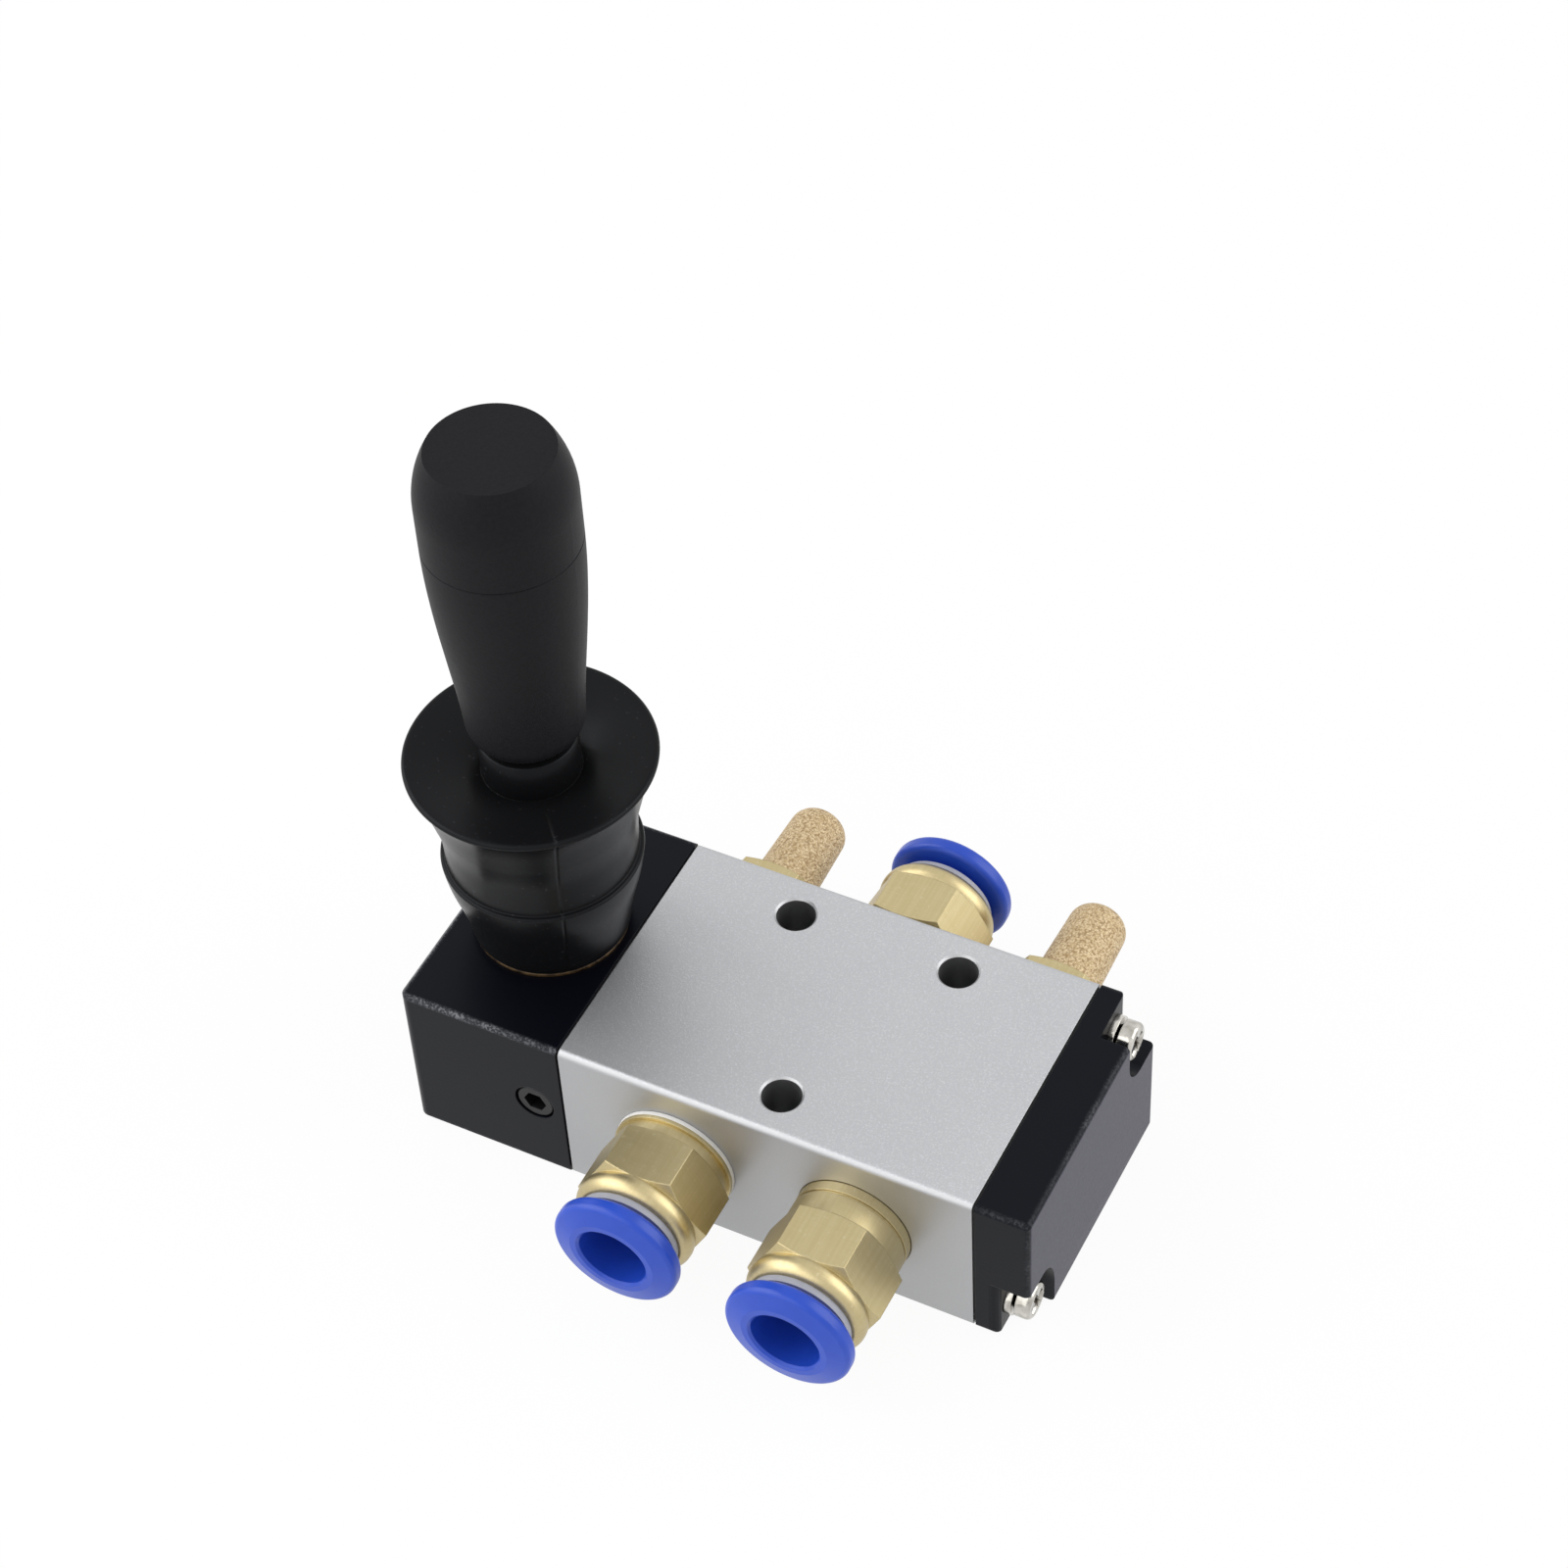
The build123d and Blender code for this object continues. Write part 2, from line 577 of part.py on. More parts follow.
def make_spool():
    land = SPOOL_BORE - 2 * RUNNING_CLEARANCE
    right_end = OUTER_SEAL + LAND_HALF
    stem_end = LEVER_X - DRIVE_STEM_END
    spool = rod(land, -right_end, right_end)
    spool += rod(SPOOL_NOSE, right_end, right_end + SPOOL_NOSE_LENGTH)
    spool += rod(DRIVE_STEM, stem_end, -right_end)
    necks = [
        (-INNER_SEAL + LAND_HALF, INNER_SEAL - LAND_HALF),
        (INNER_SEAL + LAND_HALF, MIDDLE_SEAL - LAND_HALF),
        (-MIDDLE_SEAL + LAND_HALF, -INNER_SEAL - LAND_HALF),
        (MIDDLE_SEAL + LAND_HALF, OUTER_SEAL - LAND_HALF),
        (-OUTER_SEAL + LAND_HALF, -MIDDLE_SEAL - LAND_HALF),
    ]
    for start, end in necks:
        spool -= ring_groove(land, SPOOL_NECK, start, end)
    for place in SEAL_PLACES:
        spool -= ring_groove(land, SEAL_GROOVE_BOTTOM, place - SEAL_WIDTH / 2, place + SEAL_WIDTH / 2)
    stem_radius = DRIVE_STEM / 2
    half_notch = DETENT_NOTCH_WIDTH / 2
    for step in (-1, 0, 1):
        middle = DETENT_X + step * STROKE
        spool -= turned([
            (stem_radius - DETENT_NOTCH_DEPTH, middle),
            (stem_radius, middle + half_notch),
            (stem_radius + CUT_PAST, middle + half_notch),
            (stem_radius + CUT_PAST, middle - half_notch),
            (stem_radius, middle - half_notch),
        ])
    spool = on_spool() * spool
    hole = DRIVE_BALL + 2 * DRIVE_CLEARANCE
    spool -= Pos(LEVER_X, 0, SPOOL_AXIS_HEIGHT) * rod(hole, -DRIVE_STEM, DRIVE_STEM)
    flare = Cone(hole / 2, hole / 2 + DRIVE_HOLE_CHAMFER, DRIVE_HOLE_CHAMFER)
    flare_height = SPOOL_AXIS_HEIGHT + DRIVE_STEM / 2 - DRIVE_HOLE_CHAMFER / 2
    spool -= Pos(LEVER_X, 0, flare_height) * flare
    flat = Box(LEVER_SLOT_LENGTH, DRIVE_STEM, DRIVE_STEM, align=(Align.CENTER, Align.CENTER, Align.MIN))
    return spool - Pos(LEVER_X, 0, BOSS_FLOOR) * flat


def make_spool_seals():
    outer = SPOOL_BORE / 2 - SEAL_CLEARANCE
    inner = SEAL_GROOVE_BOTTOM / 2
    half = SEAL_WIDTH / 2
    seal = turned([
        (inner, -half),
        (outer - SEAL_CROWN, -half),
        (outer, -half + SEAL_CROWN),
        (outer, half - SEAL_CROWN),
        (outer - SEAL_CROWN, half),
        (inner, half),
    ])
    return Compound(children=[on_spool(place) * seal for place in SEAL_PLACES])


# Lever


def make_lever_rod():
    neck = rod(DRIVE_NECK, 0, LEVER_ARM)
    ball = Sphere(DRIVE_BALL / 2)
    boss = Pos(0, 0, LEVER_ARM) * TO_FRONT * rod(PIVOT_BOSS, -PIVOT_BOSS_WIDTH / 2, PIVOT_BOSS_WIDTH / 2)
    top = BODY_HEIGHT + LEVER_ROD_TOP - SPOOL_AXIS_HEIGHT
    shank = rod(LEVER_ROD, LEVER_ARM, top)
    shank = chamfer(shank.edges().sort_by(Axis.Z)[-1], LEVER_ROD_CHAMFER)
    lever = neck + ball + boss + shank
    eye = PIVOT_PIN + 2 * RUNNING_CLEARANCE
    lever -= Pos(0, 0, LEVER_ARM) * TO_FRONT * rod(eye, -PIVOT_BOSS_WIDTH, PIVOT_BOSS_WIDTH)
    return Pos(LEVER_X, 0, SPOOL_AXIS_HEIGHT) * lever


def make_pivot_pin():
    pin = rod(PIVOT_PIN, -PIVOT_PIN_LENGTH / 2, PIVOT_PIN_LENGTH / 2)
    pin = chamfer(pin.edges().filter_by(GeomType.CIRCLE), PIVOT_PIN_CHAMFER)
    return Pos(LEVER_X, 0, PIVOT_HEIGHT) * TO_FRONT * pin


def above_housing():
    """The lever's line at the housing's top."""
    return Pos(LEVER_X, 0, BODY_HEIGHT)


def make_handle_grip():
    """The grip flares from its foot to the seam, where its side is upright."""
    side = Spline(
        (GRIP_FOOT_RADIUS, GRIP_BOTTOM),
        (GRIP_WAIST_RADIUS, GRIP_WAIST_HEIGHT),
        (SEAM_RADIUS, SEAM_HEIGHT),
        tangents=[(0, 1), (0, 1)],
    )
    outline = side + Polyline(side @ 1, (0, SEAM_HEIGHT), (0, GRIP_BOTTOM), side @ 0)
    grip = revolve(Plane.XZ * make_face(outline), Axis.Z)
    grip = fillet(grip.edges().sort_by(Axis.Z)[0], GRIP_FOOT_ROUND)
    grip = chamfer(grip.edges().sort_by(Axis.Z)[-1], SEAM_CHAMFER)
    grip -= rod(LEVER_ROD + 2 * SEAT_CLEARANCE, GRIP_BOTTOM, LEVER_ROD_TOP + CUT_PAST)
    socket = CAP_SPIGOT + 2 * SEAT_CLEARANCE
    grip -= rod(socket, SEAM_HEIGHT - CAP_SPIGOT_LENGTH - CUT_PAST, SEAM_HEIGHT)
    return above_housing() * grip


def make_handle_cap():
    start = (SEAM_RADIUS, SEAM_HEIGHT)
    shoulder = (SEAM_RADIUS, SEAM_HEIGHT + CAP_SIDE_LENGTH)
    top = SEAM_HEIGHT + CAP_SIDE_LENGTH + CAP_CROWN_LENGTH
    side = Line(start, shoulder)
    crown = TangentArc(shoulder, (CAP_TOP_RADIUS, top), tangent=(0, 1))
    outline = side + crown + Polyline(crown @ 1, (0, top), (0, SEAM_HEIGHT), start)
    cap = revolve(Plane.XZ * make_face(outline), Axis.Z)
    cap = chamfer(cap.edges().sort_by(Axis.Z)[0], SEAM_CHAMFER)
    cap += rod(CAP_SPIGOT, SEAM_HEIGHT - CAP_SPIGOT_LENGTH, SEAM_HEIGHT)
    return above_housing() * cap


# Boot and the ring that holds it


def make_boot_ring():
    flange_top = RING_FLANGE_THICKNESS
    collar_top = flange_top + RING_COLLAR_HEIGHT
    bead_top = collar_top + RING_BEAD_HEIGHT
    spigot = RING_SPIGOT / 2 - SEAT_CLEARANCE
    ring = turned([
        (RING_BORE / 2, -RING_SPIGOT_DEPTH),
        (spigot, -RING_SPIGOT_DEPTH),
        (spigot, 0),
        (RING_FLANGE / 2, 0),
        (RING_FLANGE / 2, flange_top),
        (RING_COLLAR / 2, flange_top),
        (RING_COLLAR / 2, collar_top),
        (RING_BEAD / 2, collar_top),
        (RING_BEAD / 2, bead_top),
        (RING_BORE / 2, bead_top),
    ])
    return above_housing() * ring


def make_boot():
    foot = RING_FLANGE_THICKNESS
    bead_top = foot + RING_COLLAR_HEIGHT + RING_BEAD_HEIGHT
    rim_under = BOOT_RIM_HEIGHT - BOOT_RIM_THICKNESS
    wall = Line((BOOT_FOOT_RADIUS, foot), (BOOT_FOOT_RADIUS, BOOT_FOOT_TOP))
    lip = (BOOT_LIP_RADIUS, BOOT_LIP_HEIGHT)
    bulge = ThreePointArc(wall @ 1, (BOOT_BULGE_RADIUS, BOOT_BULGE_HEIGHT), lip)
    ledge = Polyline(
        bulge @ 1,
        (BOOT_WAIST_RADIUS, BOOT_LIP_HEIGHT + BOOT_LIP_LEDGE),
        (BOOT_WAIST_RADIUS, BOOT_WAIST_HEIGHT),
    )
    skirt = Spline(
        ledge @ 1,
        (BOOT_SKIRT_RADIUS, BOOT_SKIRT_HEIGHT),
        (BOOT_SKIRT_TOP_RADIUS, rim_under),
        tangents=[(0, 1), (BOOT_FLARE_SLOPE, 1)],
    )
    dish_edge = (BOOT_RIM_RADIUS - BOOT_RIM_THICKNESS, BOOT_RIM_HEIGHT)
    rim = ThreePointArc(skirt @ 1, (BOOT_RIM_RADIUS, BOOT_RIM_HEIGHT - BOOT_RIM_THICKNESS / 2), dish_edge)
    collar_bore = LEVER_ROD / 2 + RUNNING_CLEARANCE
    floor_under = BOOT_DISH_HEIGHT - BOOT_WALL
    grip_bore = RING_BEAD / 2 + RUNNING_CLEARANCE
    inside = Polyline(
        dish_edge,
        (BOOT_DISH_RADIUS, BOOT_DISH_HEIGHT),
        (BOOT_COLLAR_RADIUS, BOOT_DISH_HEIGHT),
        (BOOT_COLLAR_RADIUS, BOOT_COLLAR_TOP),
        (collar_bore, BOOT_COLLAR_TOP),
        (collar_bore, floor_under),
        (BOOT_DISH_RADIUS, floor_under),
        (BOOT_SKIRT_RADIUS - 2 * BOOT_WALL, floor_under),
        (BOOT_WAIST_RADIUS - BOOT_WALL, BOOT_WAIST_HEIGHT),
        (BOOT_WAIST_RADIUS - BOOT_WALL, BOOT_LIP_HEIGHT),
        (grip_bore, bead_top + BOOT_BEAD_GAP),
        (grip_bore, foot),
        wall @ 0,
    )
    outline = wall + bulge + ledge + skirt + rim + inside
    return above_housing() * revolve(Plane.XZ * make_face(outline), Axis.Z)


# Push-in fittings, drawn pointing up from the block's face


def make_fitting_body(shoulder, has_washer):
    """The brass body. Its hex starts at the shoulder, which stands off the block's face."""
    corner = hex_corner(HEX_ACROSS_FLATS)
    flat = HEX_ACROSS_FLATS / 2
    chamfer_length = (corner - flat) * HEX_CHAMFER_SLOPE
    body = rod(PORT_BORE - 2 * SEAT_CLEARANCE, -STEM_LENGTH, shoulder)
    if not has_washer:
        start = (shoulder - STANDOFF_GROOVE) / 2
        step = 2 * STANDOFF_RADIUS
        body += rod(step, 0, shoulder)
        body -= ring_groove(step, step - 2 * STANDOFF_GROOVE_DEPTH, start, start + STANDOFF_GROOVE)
    envelope = turned([
        (0, shoulder),
        (STANDOFF_RADIUS, shoulder),
        (STANDOFF_RADIUS, shoulder + SHOULDER_LENGTH),
        (corner, shoulder + SHOULDER_LENGTH + chamfer_length),
        (corner, shoulder + HEX_END - chamfer_length),
        (flat, shoulder + HEX_END),
        (0, shoulder + HEX_END),
    ])
    body += Pos(0, 0, shoulder) * hexagon(HEX_ACROSS_FLATS, HEX_END) & envelope
    crest = (LIP_RADIUS, shoulder + LIP_CREST)
    end = (MOUTH_BORE / 2 + MOUTH_WALL, shoulder + LIP_END)
    middle = (LIP_RADIUS - LIP_ROUND, shoulder + HEX_END + LIP_RISE)
    rise = ThreePointArc((flat, shoulder + HEX_END), middle, crest)
    fall = TangentArc(crest, end, tangent=(0, 1))
    close = Polyline(end, (0, shoulder + LIP_END), (0, shoulder + HEX_END), (flat, shoulder + HEX_END))
    body += revolve(Plane.XZ * make_face(rise + fall + close), Axis.Z)
    body -= rod(MOUTH_BORE, shoulder + MOUTH_FLOOR, shoulder + LIP_END)
    body -= rod(SEAL_BORE, shoulder + SEAL_FLOOR, shoulder + MOUTH_FLOOR)
    body -= rod(TUBE_BORE, TUBE_STOP, shoulder + SEAL_FLOOR)
    return body - rod(FLOW_BORE, -STEM_LENGTH, TUBE_STOP)


def make_guide_ring(shoulder):
    start = shoulder + MOUTH_FLOOR + GRIP_RING_DISH
    return tube(MOUTH_BORE - 2 * SEAT_CLEARANCE, GUIDE_BORE, start, shoulder + GUIDE_END)


def make_grip_ring(shoulder):
    """The toothed ring that bites the tube: a dished washer cut into fingers."""
    rim = MOUTH_BORE / 2 - SEAT_CLEARANCE
    bore = GRIP_RING_BORE / 2
    bend = SEAL_BORE / 2
    low = shoulder + MOUTH_FLOOR
    high = low + GRIP_RING_DISH
    ring = turned([
        (bore, low + GRIP_RING_DISH / 2 - GRIP_RING_THICKNESS),
        (bend, high - GRIP_RING_THICKNESS),
        (rim, low),
        (rim, high),
        (bend, high),
        (bore, low + GRIP_RING_DISH / 2),
    ])
    slot = Pos((bore + bend) / 2, 0, low) * Box(bend - bore + CUT_PAST, GRIP_RING_SLOT, 4 * GRIP_RING_DISH)
    for tooth in range(GRIP_RING_TEETH):
        ring -= Rot(Z=tooth * 360 / GRIP_RING_TEETH) * slot
    return ring


def make_tube_seal(shoulder):
    """A lip seal, open towards the air that comes from below."""
    start = shoulder + SEAL_FLOOR
    end = start + TUBE_SEAL_LENGTH
    outer = SEAL_BORE / 2 - SEAT_CLEARANCE
    inner = TUBE_BORE / 2
    middle = (outer + inner) / 2
    return turned([
        (outer, start),
        (outer, end),
        (middle, end),
        (inner, start + TUBE_SEAL_LIP),
        (inner, start),
        (middle, start + TUBE_SEAL_LIP),
    ])


def make_release_button(shoulder):
    hole = BUTTON_HOLE / 2
    sleeve = GUIDE_BORE / 2 - RUNNING_CLEARANCE
    tip = shoulder + MOUTH_FLOOR + GRIP_RING_DISH + RELEASE_TRAVEL + RELEASE_GAP
    back = shoulder + BUTTON_BACK
    front = shoulder + BUTTON_FRONT
    button = turned([
        (hole, tip),
        (sleeve, tip),
        (sleeve, back),
        (BUTTON_FLANGE_RADIUS, back),
        (BUTTON_FLANGE_RADIUS, front),
        (BUTTON_NOSE_RADIUS, shoulder + BUTTON_NOSE),
        (hole + BUTTON_LEAD_IN, shoulder + BUTTON_NOSE),
        (hole, shoulder + BUTTON_NOSE - BUTTON_LEAD_IN),
    ])
    wide = button.edges().filter_by(GeomType.CIRCLE).sort_by(SortBy.RADIUS)[-2:]
    return fillet(wide, BUTTON_EDGE)


def make_nylon_washer():
    return tube(2 * WASHER_RADIUS, PORT_BORE, 0, WASHER_THICKNESS)


# Silencers, drawn pointing up from the block's face


def make_silencer_base():
    corner = hex_corner(SILENCER_HEX)
    flat = SILENCER_HEX / 2
    seat_floor = SILENCER_HEX_LENGTH - ELEMENT_SEAT
    chamfer_length = (corner - flat) * HEX_CHAMFER_SLOPE
    envelope = turned([
        (0, 0),
        (flat, 0),
        (corner, chamfer_length),
        (corner, SILENCER_HEX_LENGTH - chamfer_length),
        (flat, SILENCER_HEX_LENGTH),
        (0, SILENCER_HEX_LENGTH),
    ])
    base = hexagon(SILENCER_HEX, SILENCER_HEX_LENGTH) & envelope
    base += rod(EXHAUST_BORE - 2 * SEAT_CLEARANCE, -SILENCER_STEM_LENGTH, 0)
    base -= rod(SILENCER_BORE, -SILENCER_STEM_LENGTH, seat_floor)
    return base - rod(2 * ELEMENT_BASE_RADIUS + 2 * SEAT_CLEARANCE, seat_floor, SILENCER_HEX_LENGTH)


def make_silencer_element():
    """The sintered cup, with its moulding taper and its domed end."""
    start = SILENCER_HEX_LENGTH - ELEMENT_SEAT
    cup = turned([
        (0, start),
        (ELEMENT_BASE_RADIUS, start),
        (ELEMENT_BASE_RADIUS, SILENCER_HEX_LENGTH),
        (ELEMENT_TIP_RADIUS, ELEMENT_END),
        (0, ELEMENT_END),
    ])
    cup = fillet(cup.edges().sort_by(Axis.Z)[-1], ELEMENT_DOME)
    hollow = rod(2 * (ELEMENT_TIP_RADIUS - ELEMENT_WALL), start, ELEMENT_END - ELEMENT_WALL)
    return cup - hollow


# The valve's pieces by name

parts = {
    "valve_body": make_valve_body(),
    "housing_gasket": make_housing_gasket(),
    "cover_gasket": make_cover_gasket(),
    "end_cover": make_end_cover(),
    "cover_screws": make_cover_screws(),
    "cover_lock_washers": make_cover_lock_washers(),
    "lever_housing": make_lever_housing(),
    "housing_screws": make_housing_screws(),
    "housing_lock_washers": make_housing_lock_washers(),
    "detent_ball": make_detent_ball(),
    "detent_spring": make_detent_spring(),
    "detent_plug": make_detent_plug(),
    "spool": make_spool(),
    "spool_seals": make_spool_seals(),
    "lever_rod": make_lever_rod(),
    "pivot_pin": make_pivot_pin(),
    "boot_ring": make_boot_ring(),
    "boot": make_boot(),
    "handle_grip": make_handle_grip(),
    "handle_cap": make_handle_cap(),
    "fitting_a_washer": PORT_A * make_nylon_washer(),
}

FITTINGS = {
    "a": (PORT_A, WASHER_THICKNESS, True),
    "b": (PORT_B, STANDOFF_B, False),
    "p": (PORT_P, STANDOFF_P, False),
}
for letter, (port, shoulder, has_washer) in FITTINGS.items():
    parts[f"fitting_{letter}_body"] = port * make_fitting_body(shoulder, has_washer)
    parts[f"fitting_{letter}_guide_ring"] = port * make_guide_ring(shoulder)
    parts[f"fitting_{letter}_grip_ring"] = port * make_grip_ring(shoulder)
    parts[f"fitting_{letter}_tube_seal"] = port * make_tube_seal(shoulder)
    parts[f"fitting_{letter}_button"] = port * make_release_button(shoulder)

for letter, port in (("s", PORT_S), ("r", PORT_R)):
    parts[f"silencer_{letter}_base"] = port * make_silencer_base()
    parts[f"silencer_{letter}_element"] = port * make_silencer_element()

os.makedirs("parts", exist_ok=True)
for name, part in parts.items():
    export_step(part, f"parts/{name}.step")

print(f"spool stroke {STROKE:.4f} mm each way for {LEVER_ANGLE} degrees of lever")
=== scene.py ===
import bpy
import bmesh
from math import atan2, cos, radians, sin, tau
from mathutils import Matrix, Vector


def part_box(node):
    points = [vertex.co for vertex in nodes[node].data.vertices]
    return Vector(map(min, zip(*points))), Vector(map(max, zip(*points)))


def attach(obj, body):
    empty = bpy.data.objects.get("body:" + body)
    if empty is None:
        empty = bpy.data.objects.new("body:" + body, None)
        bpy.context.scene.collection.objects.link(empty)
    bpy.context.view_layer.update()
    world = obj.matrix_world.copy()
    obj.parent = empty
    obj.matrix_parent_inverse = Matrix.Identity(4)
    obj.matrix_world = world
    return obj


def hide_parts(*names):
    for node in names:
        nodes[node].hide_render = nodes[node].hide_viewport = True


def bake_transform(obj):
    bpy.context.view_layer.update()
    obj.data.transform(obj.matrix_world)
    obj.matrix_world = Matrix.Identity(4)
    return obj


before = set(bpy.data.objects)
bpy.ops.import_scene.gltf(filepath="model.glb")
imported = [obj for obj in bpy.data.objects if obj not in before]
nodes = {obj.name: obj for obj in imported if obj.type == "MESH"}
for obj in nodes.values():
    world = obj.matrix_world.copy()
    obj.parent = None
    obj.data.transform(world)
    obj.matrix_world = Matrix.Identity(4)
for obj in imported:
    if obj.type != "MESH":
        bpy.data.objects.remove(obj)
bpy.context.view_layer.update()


# Camera: a long lens that looks down at the valve's outlet side from the right. Its place was
# solved from the block's corners in the photograph. Places are in metres.
CAMERA_PLACE = Vector((0.13405, -0.24506, 0.3625))
CAMERA_RIGHT = Vector((0.8929, 0.4480, -0.0442)).normalized()
CAMERA_BACK = Vector((0.3333, -0.5920, 0.7338)).normalized()
SENSOR_WIDTH = 36
FOCAL_LENGTH = 90.23
NEAREST_SEEN = 0.01
camera_up = CAMERA_BACK.cross(CAMERA_RIGHT)
camera = bpy.data.objects.new("camera", bpy.data.cameras.new("camera"))
camera.data.sensor_width = SENSOR_WIDTH
camera.data.lens = FOCAL_LENGTH
camera.data.clip_start = NEAREST_SEEN
turn = Matrix((CAMERA_RIGHT, camera_up, CAMERA_BACK)).transposed().to_4x4()
camera.matrix_world = Matrix.Translation(CAMERA_PLACE) @ turn
bpy.context.scene.collection.objects.link(camera)
bpy.context.scene.camera = camera
bpy.context.scene.view_settings.view_transform = "Standard"


# Studio: a white floor and a white surround, which the camera and every reflection see as white,
# under an even light. Three soft lamps stand around the valve: in front, on its left and behind.
class Wire:
    """A socket that carries a value, a colour or a vector through the nodes of one material."""

    def __init__(self, socket):
        self.socket = socket

    def node(self, kind, settings=None, sockets=None, output=0):
        """Another node: its settings are made first, then its sockets get values or wires."""
        tree = self.socket.id_data
        made = tree.nodes.new("ShaderNode" + kind)
        for name, value in (settings or {}).items():
            setattr(made, name, value)
        for name, value in (sockets or {}).items():
            if isinstance(value, Wire):
                tree.links.new(value.socket, made.inputs[name])
            else:
                made.inputs[name].default_value = value
        return Wire(made.outputs[output])

    def maths(self, operation, first, second=0.0):
        return self.node("Math", {"operation": operation}, {0: first, 1: second})

    def __add__(self, other):
        return self.maths("ADD", self, other)

    def __sub__(self, other):
        return self.maths("SUBTRACT", self, other)

    def __mul__(self, other):
        return self.maths("MULTIPLY", self, other)

    def __radd__(self, other):
        return self.maths("ADD", other, self)

    def __rsub__(self, other):
        return self.maths("SUBTRACT", other, self)

    def __rmul__(self, other):
        return self.maths("MULTIPLY", other, self)


def ray_kinds(tree):
    """Three wires: 1 for the camera's rays, for rays off a gloss and for rays through glass."""
    path = tree.nodes.new("ShaderNodeLightPath")
    kinds = ("Is Camera Ray", "Is Glossy Ray", "Is Transmission Ray")
    return [Wire(path.outputs[kind]) for kind in kinds]


FLOOR_SIZE = 8.0
WHITE_TO_CAMERA = 0.94
WHITE_TO_REFLECTIONS = 0.82
SURROUND_LIGHT = 0.5
floor_shape = bmesh.new()
bmesh.ops.create_grid(floor_shape, x_segments=1, y_segments=1, size=FLOOR_SIZE / 2)
floor_mesh = bpy.data.meshes.new("floor")
floor_shape.to_mesh(floor_mesh)
floor_shape.free()
floor = bpy.data.objects.new("floor", floor_mesh)
bpy.context.scene.collection.objects.link(floor)
paper = bpy.data.materials.new("white paper")
paper.use_nodes = True
floor_mesh.materials.append(paper)
paper_shader = paper.node_tree.nodes["Principled BSDF"]
paper_shader.inputs["Base Color"].default_value = (0.92, 0.92, 0.92, 1)
paper_shader.inputs["Roughness"].default_value = 0.9
paper_shader.inputs["Specular IOR Level"].default_value = 0.0
direct, glossy, clear = ray_kinds(paper.node_tree)
seen = WHITE_TO_CAMERA * direct + WHITE_TO_REFLECTIONS * (glossy + clear)
white = seen.node("Emission", sockets={"Color": (1, 1, 1, 1), "Strength": 1.0})
shown = seen.node("MixShader", sockets={0: seen, 1: Wire(paper_shader.outputs[0]), 2: white})
paper_output = paper.node_tree.nodes["Material Output"]
paper.node_tree.links.new(shown.socket, paper_output.inputs["Surface"])

world = bpy.data.worlds.new("surround")
bpy.context.scene.world = world
world.use_nodes = True
background = world.node_tree.nodes["Background"]
background.inputs["Color"].default_value = (1, 1, 1, 1)
direct, glossy, clear = ray_kinds(world.node_tree)
seen = direct.maths("MINIMUM", direct + glossy + clear, 1.0)
strength = SURROUND_LIGHT + (1 - SURROUND_LIGHT) * seen
world.node_tree.links.new(strength.socket, background.inputs["Strength"])


def soft_lamp(name, place, size, watts):
    """A square lamp that faces the valve."""
    lamp = bpy.data.objects.new(name, bpy.data.lights.new(name, "AREA"))
    lamp.data.shape = "SQUARE"
    lamp.data.size = size
    lamp.data.energy = watts
    lamp.location = place
    lamp.rotation_mode = "QUATERNION"
    lamp.rotation_quaternion = Vector(place).to_track_quat("Z", "Y")
    bpy.context.scene.collection.objects.link(lamp)
    return lamp


front_lamp = soft_lamp("front lamp", (-0.45, -0.80, 0.60), 1.2, 4.8)
left_lamp = soft_lamp("left lamp", (-0.80, -0.15, 0.60), 0.9, 5.0)
right_lamp = soft_lamp("right lamp", (0.78, 0.37, 0.54), 0.9, 5.2)


# Valve block: an aluminium extrusion, drilled, bead blasted on its top and then clear anodised.
# Its bright edges are small milled chamfers. Sizes from here on are in millimetres, or in metres
# where they are multiplied by MM.
MM = 0.001
EDGE_ROUND = 0.12 * MM
SKIN = 0.4 * MM
SKIN_FADE = 0.2 * MM
# Strength of the painted shade inside the bores.
BORE_PAINTED_SHADE = 0.45


def new_finish(name):
    """A new material, and the wire of the places on the object that it covers."""
    material = bpy.data.materials.new(name)
    material.use_nodes = True
    coordinates = material.node_tree.nodes.new("ShaderNodeTexCoord")
    return material, Wire(coordinates.outputs["Object"])


def shade(material, **looks):
    """Gives the material's shader its looks, each a number, a colour or a wire."""
    shader = material.node_tree.nodes["Principled BSDF"]
    for name, look in looks.items():
        socket = shader.inputs[name.replace("_", " ")]
        if isinstance(look, Wire):
            material.node_tree.links.new(look.socket, socket)
        elif isinstance(look, tuple):
            socket.default_value = (*look, 1)
        else:
            socket.default_value = look


def noise(place, scale, detail=2.0, rough=0.5):
    """Cloudy noise from 0 to 1, its scale counted per metre."""
    sockets = {"Vector": place, "Scale": scale, "Detail": detail, "Roughness": rough}
    return place.node("TexNoise", sockets=sockets)


def mix(low, high, factor):
    """A colour between two others, each a colour or a wire."""
    ends = [(*end, 1) if isinstance(end, tuple) else end for end in (low, high)]
    return factor.node("Mix", {"data_type": "RGBA"}, {0: factor, 6: ends[0], 7: ends[1]}, 2)


def ramp(value, low, high):
    """0 below low, 1 above high, and a straight rise between them."""
    return value.node("MapRange", sockets={"Value": value, "From Min": low, "From Max": high})


def bumped(height, depth, edge=EDGE_ROUND):
    """A normal with fine relief of that depth, on edges eased by a radius, both in metres."""
    eased = height.node("Bevel", {"samples": 4}, {"Radius": edge})
    sockets = {"Height": height, "Distance": depth, "Strength": 1.0, "Normal": eased}
    return height.node("Bump", sockets=sockets)


def dress(name, material):
    """Gives a CAD node its finish."""
    nodes[name].material_slots[0].material = material


